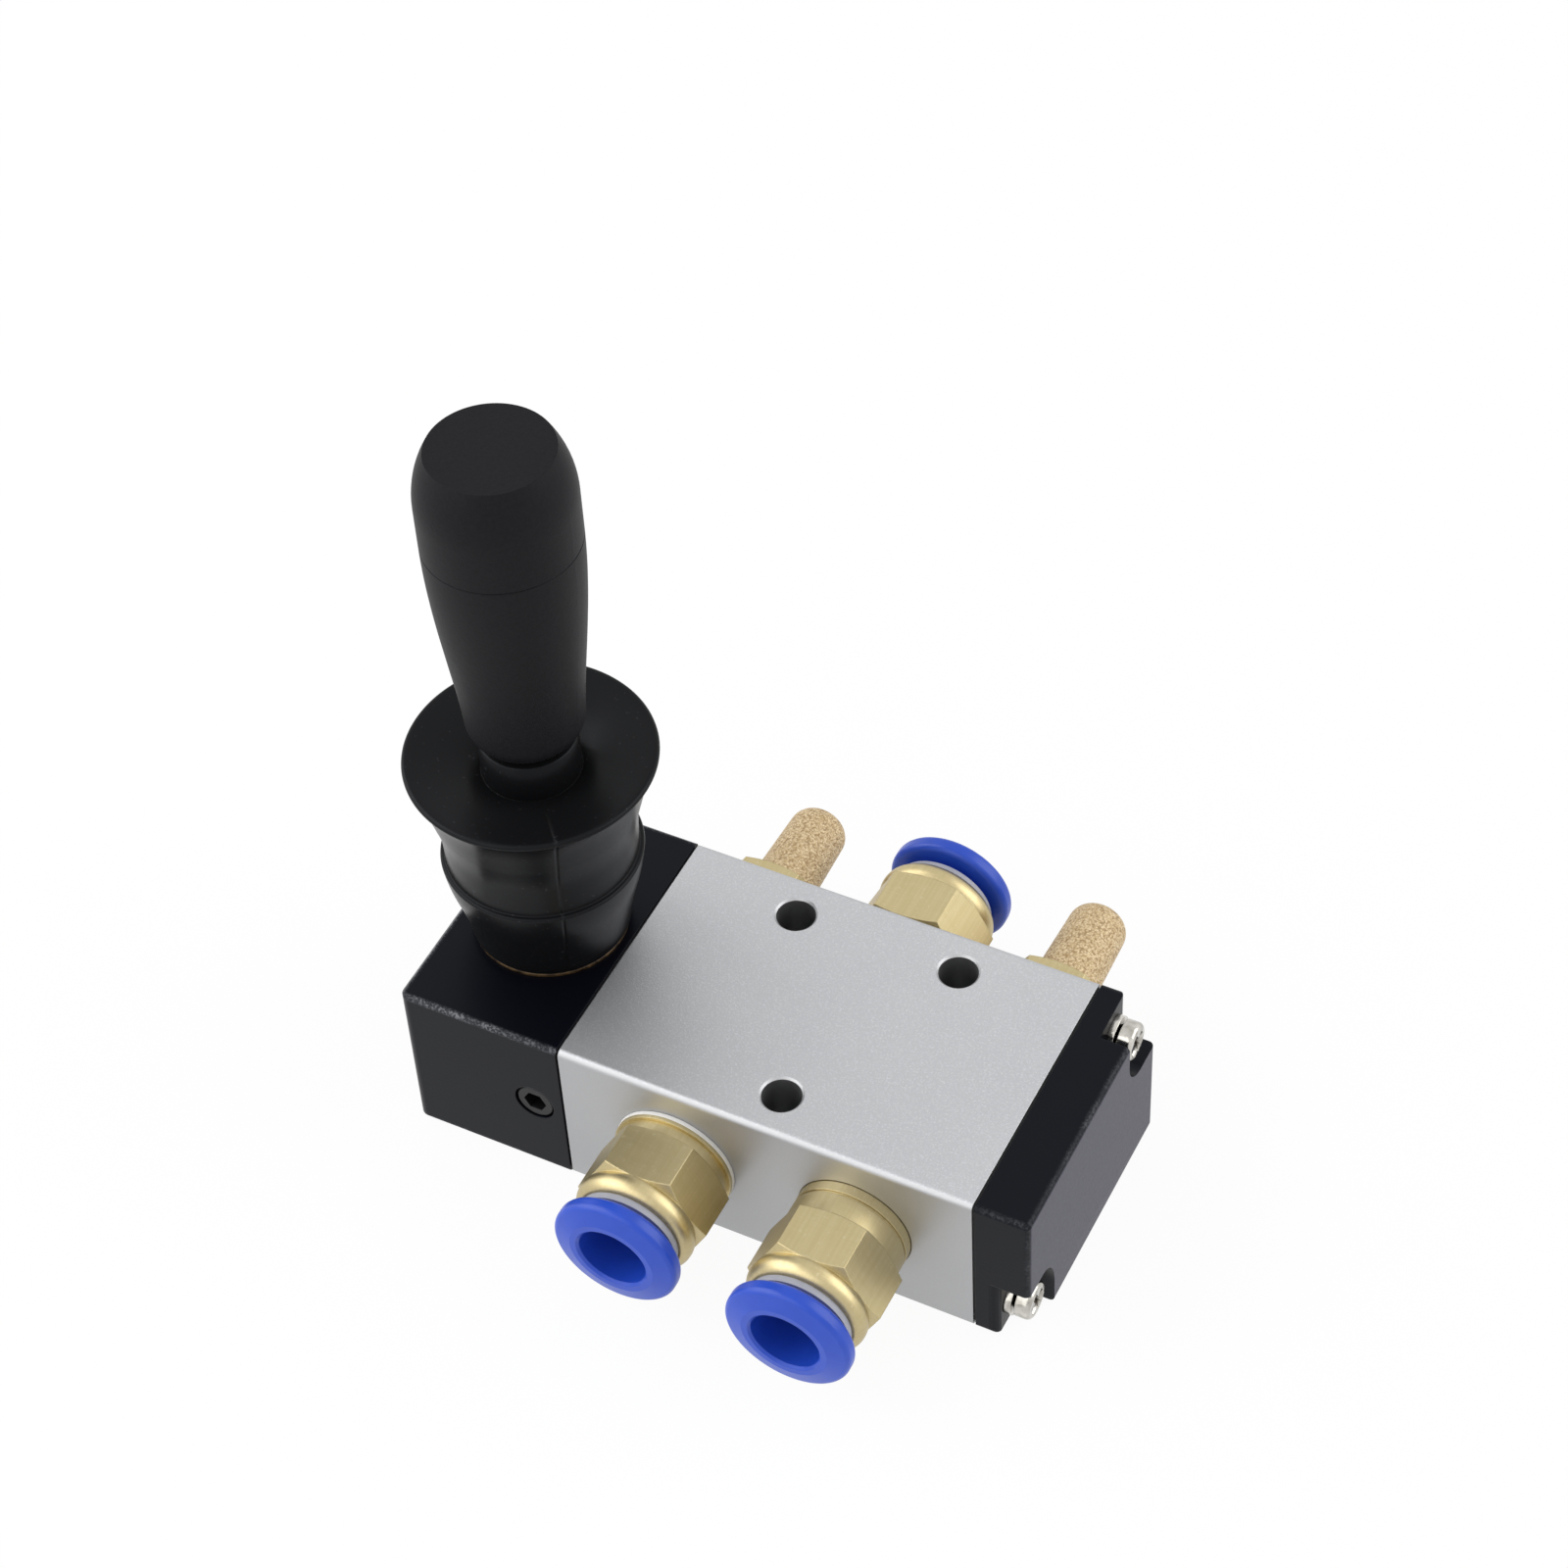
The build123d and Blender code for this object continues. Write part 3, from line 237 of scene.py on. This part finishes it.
blasted, place = new_finish("blasted aluminium")
grit = noise(place, 4400, 2.0, 0.75)
cloud = noise(place, 70, 4.0)
facing = Wire(place.socket.node.outputs["Normal"])
upright = facing.node("SeparateXYZ", sockets={0: facing}, output=2)
upright = place.maths("ABSOLUTE", upright)
top_side = ramp(upright, 0.8, 0.95)
side_tone = mix((0.44, 0.445, 0.455), (0.49, 0.493, 0.50), cloud)
top_tone = mix((0.47, 0.478, 0.495), (0.52, 0.527, 0.54), cloud)
plain = mix(side_tone, top_tone, top_side)
# Painted highlight: light specks are mixed into the base colour as glints, stronger on the top
# face.
painted_glint = ramp(grit, 0.50, 0.70) * (0.12 + 0.30 * top_side)
# Painted shade: upright walls that lie inside the block's front and back faces, such as the bores'
# walls, are darkened in the base colour.
under_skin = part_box("valve_body")[1][1] - SKIN
across = place.maths("ABSOLUTE", place.node("SeparateXYZ", sockets={0: place}, output=1))
bore_shade_mask = (1 - ramp(across, under_skin - SKIN_FADE, under_skin)) * (1 - ramp(upright, 0.2, 0.4))
painted_glint_colour = mix(plain, (0.74, 0.75, 0.77), painted_glint)
shade(
    blasted,
    Base_Color=mix(painted_glint_colour, (0.06, 0.06, 0.062), BORE_PAINTED_SHADE * bore_shade_mask),
    Metallic=1.0,
    Roughness=0.47 - 0.03 * top_side + 0.08 * grit,
    Normal=bumped(grit * (0.2 + 0.8 * top_side), 0.000022),
)
dress("valve_body", blasted)


# Gaskets: sheets of black rubber that seal the spool's bore at both ends of the block. The end
# pieces' screws clamp them.
sheet_rubber, place = new_finish("sheet rubber")
sheet_tone = mix((0.01, 0.01, 0.01), (0.03, 0.03, 0.03), noise(place, 900))
shade(sheet_rubber, Base_Color=sheet_tone, Roughness=0.75)
dress("housing_gasket", sheet_rubber)
dress("cover_gasket", sheet_rubber)


# End cover: die-cast aluminium, black anodised, with the finish rubbed thin along its edges. Two
# ears with rounded corners are stepped back for its screws, and a pocket leads to each.
WEAR_REACH = 0.75 * MM
WEAR_FULL = 0.30 * MM
# Depth and fade of the painted reflection on the cover's end face.
PAINTED_END_LIGHT_DEPTH = 1.0 * MM
PAINTED_END_LIGHT_FADE = 0.5 * MM
COVER_WEAR = 0.30
COVER_END_PAINTED_LIGHT = (0.024, 0.022, 0.045)
BLACK_TONE = (0.0022, 0.0025, 0.0048)


def box_edge(place, low, high):
    """How near a place on a box is to an edge of it: 0 at the edge, less inside, in metres."""
    middle = (low + high) / 2
    half = (high - low) / 2
    local = place.node("VectorMath", {"operation": "SUBTRACT"}, {0: place, 1: middle})
    away = local.node("VectorMath", {"operation": "ABSOLUTE"}, {0: local})
    depth = away.node("VectorMath", {"operation": "SUBTRACT"}, {0: away, 1: half})
    split = depth.node("SeparateXYZ", sockets={0: depth})
    x, y, z = (Wire(split.socket.node.outputs[axis]) for axis in range(3))
    most = place.maths("MAXIMUM", place.maths("MAXIMUM", x, y), z)
    least = place.maths("MINIMUM", place.maths("MINIMUM", x, y), z)
    return x + y + z - most - least


def black_anodised(name, rubbed, painted_end_light):
    """Satin black with a faint grain, specks on worn edges, and a painted reflection that lightens
    the end face.
    """
    material, place = new_finish(name.replace("_", " ") + " black")
    low, high = (Vector(corner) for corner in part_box(name))
    if low.x < 0:
        high.x = 0
    else:
        low.x = 0
    grit = noise(place, 3000, 2.0, 0.6)
    specks = 0.15 + 0.85 * ramp(noise(place, 3000, 2.0, 0.7), 0.44, 0.62)
    patches = 0.30 + 0.70 * ramp(noise(place, 260, 2.0), 0.38, 0.60)
    wear = ramp(box_edge(place, low, high), -WEAR_REACH, -WEAR_FULL) * specks * patches * rubbed
    facing = Wire(place.socket.node.outputs["Normal"])
    endways = facing.node("SeparateXYZ", sockets={0: facing})
    along = place.node("SeparateXYZ", sockets={0: place})
    # Painted reflection: the outermost end face gets a lighter, bluish tone in the base colour.
    end_start = high.x - PAINTED_END_LIGHT_DEPTH
    outermost = ramp(along, end_start - PAINTED_END_LIGHT_FADE, end_start)
    plain = mix(BLACK_TONE, painted_end_light, ramp(endways, 0.90, 0.98) * outermost)
    shade(
        material,
        Base_Color=mix(plain, (0.19, 0.195, 0.21), wear),
        Roughness=0.25 + 0.12 * grit,
        Specular_IOR_Level=0.13,
        Specular_Tint=(0.86, 0.92, 1.0),
        Normal=bumped(grit, 0.000008, 0.2 * MM),
    )
    return material


SAME_POINT = 1e-4
TOUCHING = 0.01


def in_millimetres(name):
    """A copy of a CAD node's surface in millimetres, its doubled corners merged."""
    shape = bmesh.new()
    shape.from_mesh(nodes[name].data)
    shape.transform(Matrix.Scale(1 / MM, 4) @ nodes[name].matrix_world)
    bmesh.ops.remove_doubles(shape, verts=shape.verts, dist=SAME_POINT)
    return shape


def new_piece(name, shape, place, material, sharp=35):
    """Puts a shape drawn in millimetres in its place; edges over the angle sharp stay crisp."""
    shape.transform(place @ Matrix.Scale(MM, 4))
    bmesh.ops.recalc_face_normals(shape, faces=shape.faces)
    mesh = bpy.data.meshes.new(name)
    shape.to_mesh(mesh)
    shape.free()
    mesh.shade_smooth()
    mesh.set_sharp_from_angle(angle=radians(sharp))
    mesh.materials.append(material)
    piece = bpy.data.objects.new(name, mesh)
    bpy.context.scene.collection.objects.link(piece)
    return piece


EAR_SINKING = 0.75
EAR_ROUND = 1.2
EAR_ROUND_STEPS = 5
SCREW_INSET = 3.7
POCKET_RADIUS = 3.75
POCKET_TALLER = 1.6
POCKET_NARROWER = 0.6
COVER_SHARP = 8
cover_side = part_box("end_cover")[1][1] / MM
washers_low, washers_high = (Vector(corner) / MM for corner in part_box("cover_lock_washers"))
ear_face = washers_low.x
cover_shape = in_millimetres("end_cover")

# Cuts across the ears give their corners the points that the round needs.
for step in range(1, EAR_ROUND_STEPS):
    reach = cover_side - EAR_ROUND + EAR_ROUND * sin(tau / 4 * step / EAR_ROUND_STEPS)
    for side in (-1, 1):
        bmesh.ops.bisect_plane(
            cover_shape,
            geom=cover_shape.verts[:] + cover_shape.edges[:] + cover_shape.faces[:],
            dist=SAME_POINT,
            plane_co=(0, side * reach, 0),
            plane_no=(0, 1, 0),
        )

# The lower pocket grows upwards from its screw's axis, and the ears' faces sink and round off.
for point in cover_shape.verts:
    beyond_y = point.co.y + cover_side - SCREW_INSET
    beyond_z = point.co.z - SCREW_INSET
    if point.co.x > ear_face - TOUCHING and max(beyond_y, beyond_z) < POCKET_RADIUS + TOUCHING:
        point.co.y -= POCKET_NARROWER * max(0, beyond_y) / POCKET_RADIUS
        point.co.z += POCKET_TALLER * max(0, beyond_z) / POCKET_RADIUS
    if abs(point.co.x - ear_face) < TOUCHING:
        past = max(0, abs(point.co.y) - cover_side + EAR_ROUND)
        point.co.x -= EAR_SINKING + EAR_ROUND - max(0, EAR_ROUND**2 - past**2) ** 0.5
cover_black = black_anodised("end_cover", COVER_WEAR, COVER_END_PAINTED_LIGHT)
cover = new_piece("end_cover_cast", cover_shape, Matrix(), cover_black, COVER_SHARP)
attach(cover, "valve")
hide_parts("end_cover")


# Cover screws: two nickel-plated M3 pan heads with a cross recess, each over a split washer. Their
# shanks pass through the cover's ears into the block.
HEAD_RADIUS = 2.8
RECESS_REACH = 1.7
HEAD_NARROWING = 0.6
WASHER_NARROWING = 0.8
HEAD_LIFT = 0.40
HEAD_FLATTENING = 0.78
RECESS_SHADE_FADE = 0.15
RECESS_SHADOW_TOP = 0.08
RECESS_SHADOW_FOOT = 0.45
FASTENER_SHARP = 12
screws_low, screws_high = (Vector(corner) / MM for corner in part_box("cover_screws"))
screw_axes = (
    Vector((0, screws_low.y + HEAD_RADIUS, screws_low.z + HEAD_RADIUS)),
    Vector((0, screws_high.y - HEAD_RADIUS, screws_high.z - HEAD_RADIUS)),
)
head_foot = washers_high.x
head_height = HEAD_FLATTENING * (screws_high.x - head_foot)
head_top = (head_foot + head_height - EAR_SINKING + HEAD_LIFT) * MM
nickel, place = new_finish("bright nickel")
stain = noise(place, 700, 3.0)
along = place.node("SeparateXYZ", sockets={0: place})
flat = place.node("VectorMath", {"operation": "MULTIPLY"}, {0: place, 1: (0, 1, 1)})
lower, upper = (
    flat.node("VectorMath", {"operation": "DISTANCE"}, {0: flat, 1: axis * MM}, 1)
    for axis in screw_axes
)
from_axis = place.maths("MINIMUM", lower, upper)
# Painted shade: the heads' cross recesses are darkened in the base colour, fading in below the
# head's top.
near_axis = 1 - ramp(from_axis, (RECESS_REACH - RECESS_SHADE_FADE) * MM, RECESS_REACH * MM)
sunk = 1 - ramp(along, head_top - RECESS_SHADOW_FOOT * MM, head_top - RECESS_SHADOW_TOP * MM)
recess_shade = near_axis * sunk * ramp(along, 0, MM)
plating = mix((0.34, 0.325, 0.29), (0.70, 0.68, 0.63), ramp(stain, 0.3, 0.7))
shade(
    nickel,
    Base_Color=mix(plating, (0.10, 0.085, 0.07), recess_shade),
    Metallic=1.0,
    Roughness=0.10 + 0.12 * stain,
    Normal=bumped(stain, 0.00003, 0.2 * MM),
)
for name, narrowing in (("cover_screws", HEAD_NARROWING), ("cover_lock_washers", WASHER_NARROWING)):
    shape = in_millimetres(name)
    for point in shape.verts:
        axis = Vector((point.co.x, *screw_axes[point.co.y > 0].yz))
        away = point.co - axis
        if away.length > RECESS_REACH:
            reach = RECESS_REACH + narrowing * (away.length - RECESS_REACH)
            point.co = axis + reach * away.normalized()
        if name == "cover_lock_washers":
            point.co.x -= EAR_SINKING
        elif point.co.x > head_foot - TOUCHING:
            height = HEAD_FLATTENING * (point.co.x - head_foot)
            point.co.x = head_foot + height - EAR_SINKING + HEAD_LIFT
    fastener = new_piece(name + "_plated", shape, Matrix(), nickel, FASTENER_SHARP)
    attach(fastener, "valve")
    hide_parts(name)


# Lever housing: the same black finish on a milled block. It carries the lever's steel pivot, and a
# small threaded plug in its side holds the detent's spring and ball.
HOUSING_WEAR = 1.0
dress("lever_housing", black_anodised("lever_housing", HOUSING_WEAR, BLACK_TONE))
for name in ("housing_screws", "housing_lock_washers"):
    dress(name, nickel)

black_steel, place = new_finish("black steel")
oxide = noise(place, 1800, 3.0)
shade(
    black_steel,
    Base_Color=mix((0.008, 0.008, 0.009), (0.03, 0.03, 0.033), oxide),
    Metallic=0.6,
    Roughness=0.28 + 0.2 * oxide,
    Normal=bumped(oxide, 0.00001),
)
dress("detent_plug", black_steel)

ground_steel, place = new_finish("ground steel")
brushing = noise(place, 2400, 2.0)
shade(
    ground_steel,
    Base_Color=mix((0.42, 0.42, 0.43), (0.60, 0.60, 0.61), brushing),
    Metallic=1.0,
    Roughness=0.2 + 0.15 * brushing,
)
for name in ("detent_ball", "detent_spring", "pivot_pin", "lever_rod"):
    dress(name, ground_steel)


# Spool: turned aluminium with six moulded seals in its grooves. The lever's ball moves it in the
# block's bore, out of sight.
turned_aluminium, place = new_finish("turned aluminium")
feed = noise(place, 3000, 1.0)
shade(
    turned_aluminium,
    Base_Color=mix((0.55, 0.55, 0.57), (0.68, 0.68, 0.70), feed),
    Metallic=1.0,
    Roughness=0.22 + 0.1 * feed,
)
dress("spool", turned_aluminium)
seal_rubber, place = new_finish("seal rubber")
seal_tone = mix((0.01, 0.01, 0.01), (0.025, 0.025, 0.025), noise(place, 1200))
shade(seal_rubber, Base_Color=seal_tone, Roughness=0.45)
dress("spool_seals", seal_rubber)


# Boot ring: a turned brass ring with an amber varnish, pressed into the housing. Its bead holds the
# boot, and only the edge of its flange shows.
amber, place = new_finish("amber varnish")
streak = noise(place, 900, 2.0)
shade(
    amber,
    Base_Color=mix((0.020, 0.009, 0.003), (0.12, 0.072, 0.03), ramp(streak, 0.35, 0.65)),
    Metallic=0.4,
    Roughness=0.3,
    Normal=bumped(streak, 0.00001),
)
pin_low, pin_high = (Vector(corner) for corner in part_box("pivot_pin"))
LEVER_FOOT = Vector(((pin_low.x + pin_high.x) / 2, 0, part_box("lever_housing")[1][2]))


def spun(outline, steps):
    """A solid of revolution about Z, from a closed outline of (radius, height) points."""
    shape = bmesh.new()
    points = [shape.verts.new((radius, 0, height)) for radius, height in outline]
    edges = [shape.edges.new(pair) for pair in zip(points, points[1:] + points[:1])]
    ring = {"cent": (0, 0, 0), "axis": (0, 0, 1), "angle": tau, "steps": steps, "use_merge": True}
    bmesh.ops.spin(shape, geom=points + edges, **ring)
    bmesh.ops.remove_doubles(shape, verts=shape.verts, dist=SAME_POINT / 10)
    return shape


RING_STEPS = 192
RING_BORE = 5.2
SPIGOT_RADIUS = 7.85
SPIGOT_DEPTH = 0.8
FLANGE_RADIUS = 8.97
FLANGE_THICKNESS = 0.5
FLANGE_EASE = 0.07
FLANGE_EASE_HEIGHT = 0.1
NECK_RADIUS = 8.0
BEAD_RADIUS = 8.25
BEAD_START = 2.7
RING_TOP = 3.5
ring_outline = [
    (RING_BORE, -SPIGOT_DEPTH),
    (SPIGOT_RADIUS, -SPIGOT_DEPTH),
    (SPIGOT_RADIUS, 0),
    (FLANGE_RADIUS - FLANGE_EASE, 0),
    (FLANGE_RADIUS, FLANGE_EASE_HEIGHT),
    (FLANGE_RADIUS, FLANGE_THICKNESS - FLANGE_EASE_HEIGHT),
    (FLANGE_RADIUS - FLANGE_EASE, FLANGE_THICKNESS),
    (NECK_RADIUS, FLANGE_THICKNESS),
    (NECK_RADIUS, BEAD_START),
    (BEAD_RADIUS, BEAD_START),
    (BEAD_RADIUS, RING_TOP),
    (RING_BORE, RING_TOP),
]
ring_shape = spun(ring_outline, RING_STEPS)
boot_ring = new_piece("boot_ring_varnished", ring_shape, Matrix.Translation(LEVER_FOOT), amber)
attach(boot_ring, "valve")
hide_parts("boot_ring")


# Boot: one moulding of soft black rubber, snapped over the ring's bead. It bulges to a lip, flares
# to a dished top, and its collar hugs the lever. The mould's parting line runs down its side.
BOOT_STEPS = 480
BOOT_SHARP = 50
SEAM_ANGLE = radians(-49.5)
SEAM_RISE = 0.09
SEAM_INSIDE = 7.5


def curved(start, end, start_slope, end_slope, steps=10):
    """Points of a smooth outline between two (radius, height) points, with the slope at each."""
    (r0, h0), (r1, h1) = start, end
    rise = h1 - h0
    points = []
    for step in range(steps + 1):
        t = step / steps
        r = (2 * t**3 - 3 * t**2 + 1) * r0 + (t**3 - 2 * t**2 + t) * start_slope * rise
        r += (3 * t**2 - 2 * t**3) * r1 + (t**3 - t**2) * end_slope * rise
        points.append((r, h0 + t * rise))
    return points


def arc(centre, radius, start, end, steps=8):
    """Points of a round corner; the angles are in degrees from the outward radius."""
    angles = [radians(start + (end - start) * step / steps) for step in range(steps + 1)]
    return [(centre[0] + radius * cos(a), centre[1] + radius * sin(a)) for a in angles]


foot = [(8.35, 0.5), (8.8, 0.5), (9.0, 0.65), (9.2, 1.0)]
bulge = curved((9.32, 1.6), (10.65, 8.0), 0.1, 0.27, 9)
bulge += curved((10.85, 8.7), (11.5, 12.1), 0.26, 0.12, 6)
lip = arc((11.2, 12.5), 0.35, -15, 85, 6) + arc((11.2, 13.05), 0.2, 250, 175, 5)
flare = curved((10.98, 13.3), (11.1, 16.6), 0.0, 0.06, 6)
flare += curved((11.14, 17.1), (12.0, 21.2), 0.08, 0.26, 8)
flare += curved((12.12, 21.7), (13.72, 26.75), 0.27, 0.45, 8)
rim = arc((13.80, 27.5), 0.45, -75, 100, 9)
dish = curved((13.5, 27.93), (6.9, 26.4), 6.0, 2.4, 14)
collar = [(5.65, 25.9), (5.55, 30.8), (5.4, 30.93), (3.05, 30.95), (3.05, 25.1)]
hollow = [(8.6, 25.1), (9.9, 19.5), (9.65, 13.5), (9.5, 11.5), (8.35, 4.2)]
boot_outline = foot + bulge + lip + flare + rim + dish + collar + hollow
boot_rubber, place = new_finish("boot rubber")
skin = noise(place, 1400, 3.0)
dust = ramp(noise(place, 2100, 1.0), 0.72, 0.78)
shade(
    boot_rubber,
    Base_Color=mix((0.0058, 0.0060, 0.0066), (0.030, 0.030, 0.034), dust),
    Roughness=0.26 + 0.06 * skin,
    Specular_IOR_Level=0.115,
    Specular_Tint=(0.92, 0.95, 1.0),
    Normal=bumped(skin, 0.000004),
)
boot_shape = spun(boot_outline, BOOT_STEPS)
boot_shape.normal_update()
for point in boot_shape.verts:
    turned_from_seam = (atan2(point.co.y, point.co.x) - SEAM_ANGLE) * BOOT_STEPS / tau
    if point.co.xy.length > SEAM_INSIDE and abs(turned_from_seam) < 0.5:
        point.co += SEAM_RISE * point.normal
boot_place = Matrix.Translation(LEVER_FOOT)
boot = new_piece("boot_skin", boot_shape, boot_place, boot_rubber, BOOT_SHARP)
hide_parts("boot")
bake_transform(boot)


# Handle: a hard plastic grip pressed on the lever's rod, closed by a cap. A fine line shows where
# the two meet. Both have a matt, finely sparked surface.
handle_black, place = new_finish("handle black")
spark = noise(place, 2300, 2.0, 0.6)
shade(
    handle_black,
    Base_Color=mix((0.0070, 0.0070, 0.0084), (0.0135, 0.0135, 0.0155), spark),
    Roughness=0.44 + 0.1 * spark,
    Specular_IOR_Level=0.09,
    Normal=bumped(spark, 0.00002),
)
dress("handle_grip", handle_black)
dress("handle_cap", handle_black)


# Push-in fittings: bodies turned from hexagonal brass, each with a plastic guide ring, a toothed
# steel grip ring, a rubber seal and a blue acetal release button. They are screwed into the ports,
# one of them on a nylon washer, over which its shoulder shows.
brass, place = new_finish("turned brass")
rings = place.node("Mapping", sockets={"Vector": place, "Scale": (0.02, 1.0, 0.02)})
streaks = place.node("Mapping", sockets={"Vector": place, "Scale": (1.0, 0.03, 1.0)})
lathe = noise(rings, 5200, 2.0, 0.6)
drawn = noise(streaks, 2400, 2.0, 0.6)
tarnish = 0.5 * noise(place, 160, 3.0) + 0.5 * ramp(drawn, 0.35, 0.65)
nicks = ramp(noise(place, 2200, 3.0, 0.7), 0.60, 0.72)
turned = mix((0.53, 0.445, 0.245), (0.595, 0.51, 0.30), lathe)
dulled = mix(turned, (0.45, 0.36, 0.178), 0.55 * tarnish)
shade(
    brass,
    Base_Color=mix(dulled, (0.74, 0.68, 0.52), 0.3 * nicks),
    Metallic=1.0,
    Roughness=0.33 + 0.06 * lathe + 0.06 * drawn + 0.08 * nicks,
    Normal=bumped(lathe + nicks, 0.000003, 0.18 * MM),
)
blue_acetal, place = new_finish("blue acetal")
cloudy = noise(place, 500, 2.0)
shade(
    blue_acetal,
    Base_Color=mix((0.013, 0.062, 0.48), (0.021, 0.078, 0.55), cloudy),
    Roughness=0.30 + 0.06 * cloudy,
    Specular_IOR_Level=0.42,
    Normal=bumped(cloudy, 0.00001),
)
grey_plastic, place = new_finish("grey plastic")
grey_tone = mix((0.36, 0.37, 0.43), (0.44, 0.45, 0.50), noise(place, 900))
shade(grey_plastic, Base_Color=grey_tone, Roughness=0.45)
nylon, place = new_finish("nylon")
nylon_tone = mix((0.72, 0.71, 0.68), (0.82, 0.81, 0.78), noise(place, 900))
shade(nylon, Base_Color=nylon_tone, Roughness=0.5)

FITTING_STEPS = 128
WASHER_BORE = 5.2
WASHER_PRESSED = 0.55
WASHER_EASE = 0.1
SHOULDER_RADIUS = 7.3
washer_low, washer_high = (Vector(corner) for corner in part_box("fitting_a_washer"))
washer_middle = (washer_low + washer_high) / 2
washer_radius = (washer_high.x - washer_low.x) / 2 / MM
shoulder_top = (washer_high.y - washer_low.y) / MM
washer_outline = [
    (WASHER_BORE, 0),
    (washer_radius - WASHER_EASE, 0),
    (washer_radius, WASHER_EASE),
    (washer_radius, WASHER_PRESSED - WASHER_EASE),
    (washer_radius - WASHER_EASE, WASHER_PRESSED),
    (WASHER_BORE, WASHER_PRESSED),
]
shoulder_outline = [
    (WASHER_BORE, WASHER_PRESSED),
    (SHOULDER_RADIUS, WASHER_PRESSED),
    (SHOULDER_RADIUS, shoulder_top),
    (WASHER_BORE, shoulder_top),
]
port_a = Matrix.Translation((washer_middle.x, washer_high.y, washer_middle.z))
port_a = port_a @ Matrix.Rotation(radians(90), 4, "X")
washer_shape = spun(washer_outline, FITTING_STEPS)
washer = new_piece("fitting_a_washer_pressed", washer_shape, port_a, nylon)
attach(washer, "valve")
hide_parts("fitting_a_washer")
shoulder_shape = spun(shoulder_outline, FITTING_STEPS)
shoulder = new_piece("fitting_a_shoulder", shoulder_shape, port_a, brass)
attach(shoulder, "valve")
for letter in "abp":
    dress(f"fitting_{letter}_body", brass)
    dress(f"fitting_{letter}_guide_ring", grey_plastic)
    dress(f"fitting_{letter}_grip_ring", ground_steel)
    dress(f"fitting_{letter}_tube_seal", seal_rubber)
    dress(f"fitting_{letter}_button", blue_acetal)


# Silencers: turned brass bases, screwed into the exhaust ports, with cups of sintered bronze
# grains pressed on them. The exhaust air leaves through the grains.
sinter, place = new_finish("sintered bronze")
cells = place.node("TexVoronoi", sockets={"Vector": place, "Scale": 3600}, output=0)
grain = noise(place, 2600, 2.0)
# Painted shade darkens the gaps between the grains in the base colour.
gap_shade = 0.75 * ramp(cells, 0.42, 0.80)
bronze = mix((0.56, 0.405, 0.21), (0.80, 0.64, 0.40), ramp(grain, 0.35, 0.65))
shade(
    sinter,
    Base_Color=mix(bronze, (0.28, 0.165, 0.065), gap_shade),
    Metallic=0.25,
    Roughness=0.5,
    Normal=bumped(1 - cells, 0.00012),
)
for letter in "sr":
    dress(f"silencer_{letter}_base", brass)
    dress(f"silencer_{letter}_element", sinter)
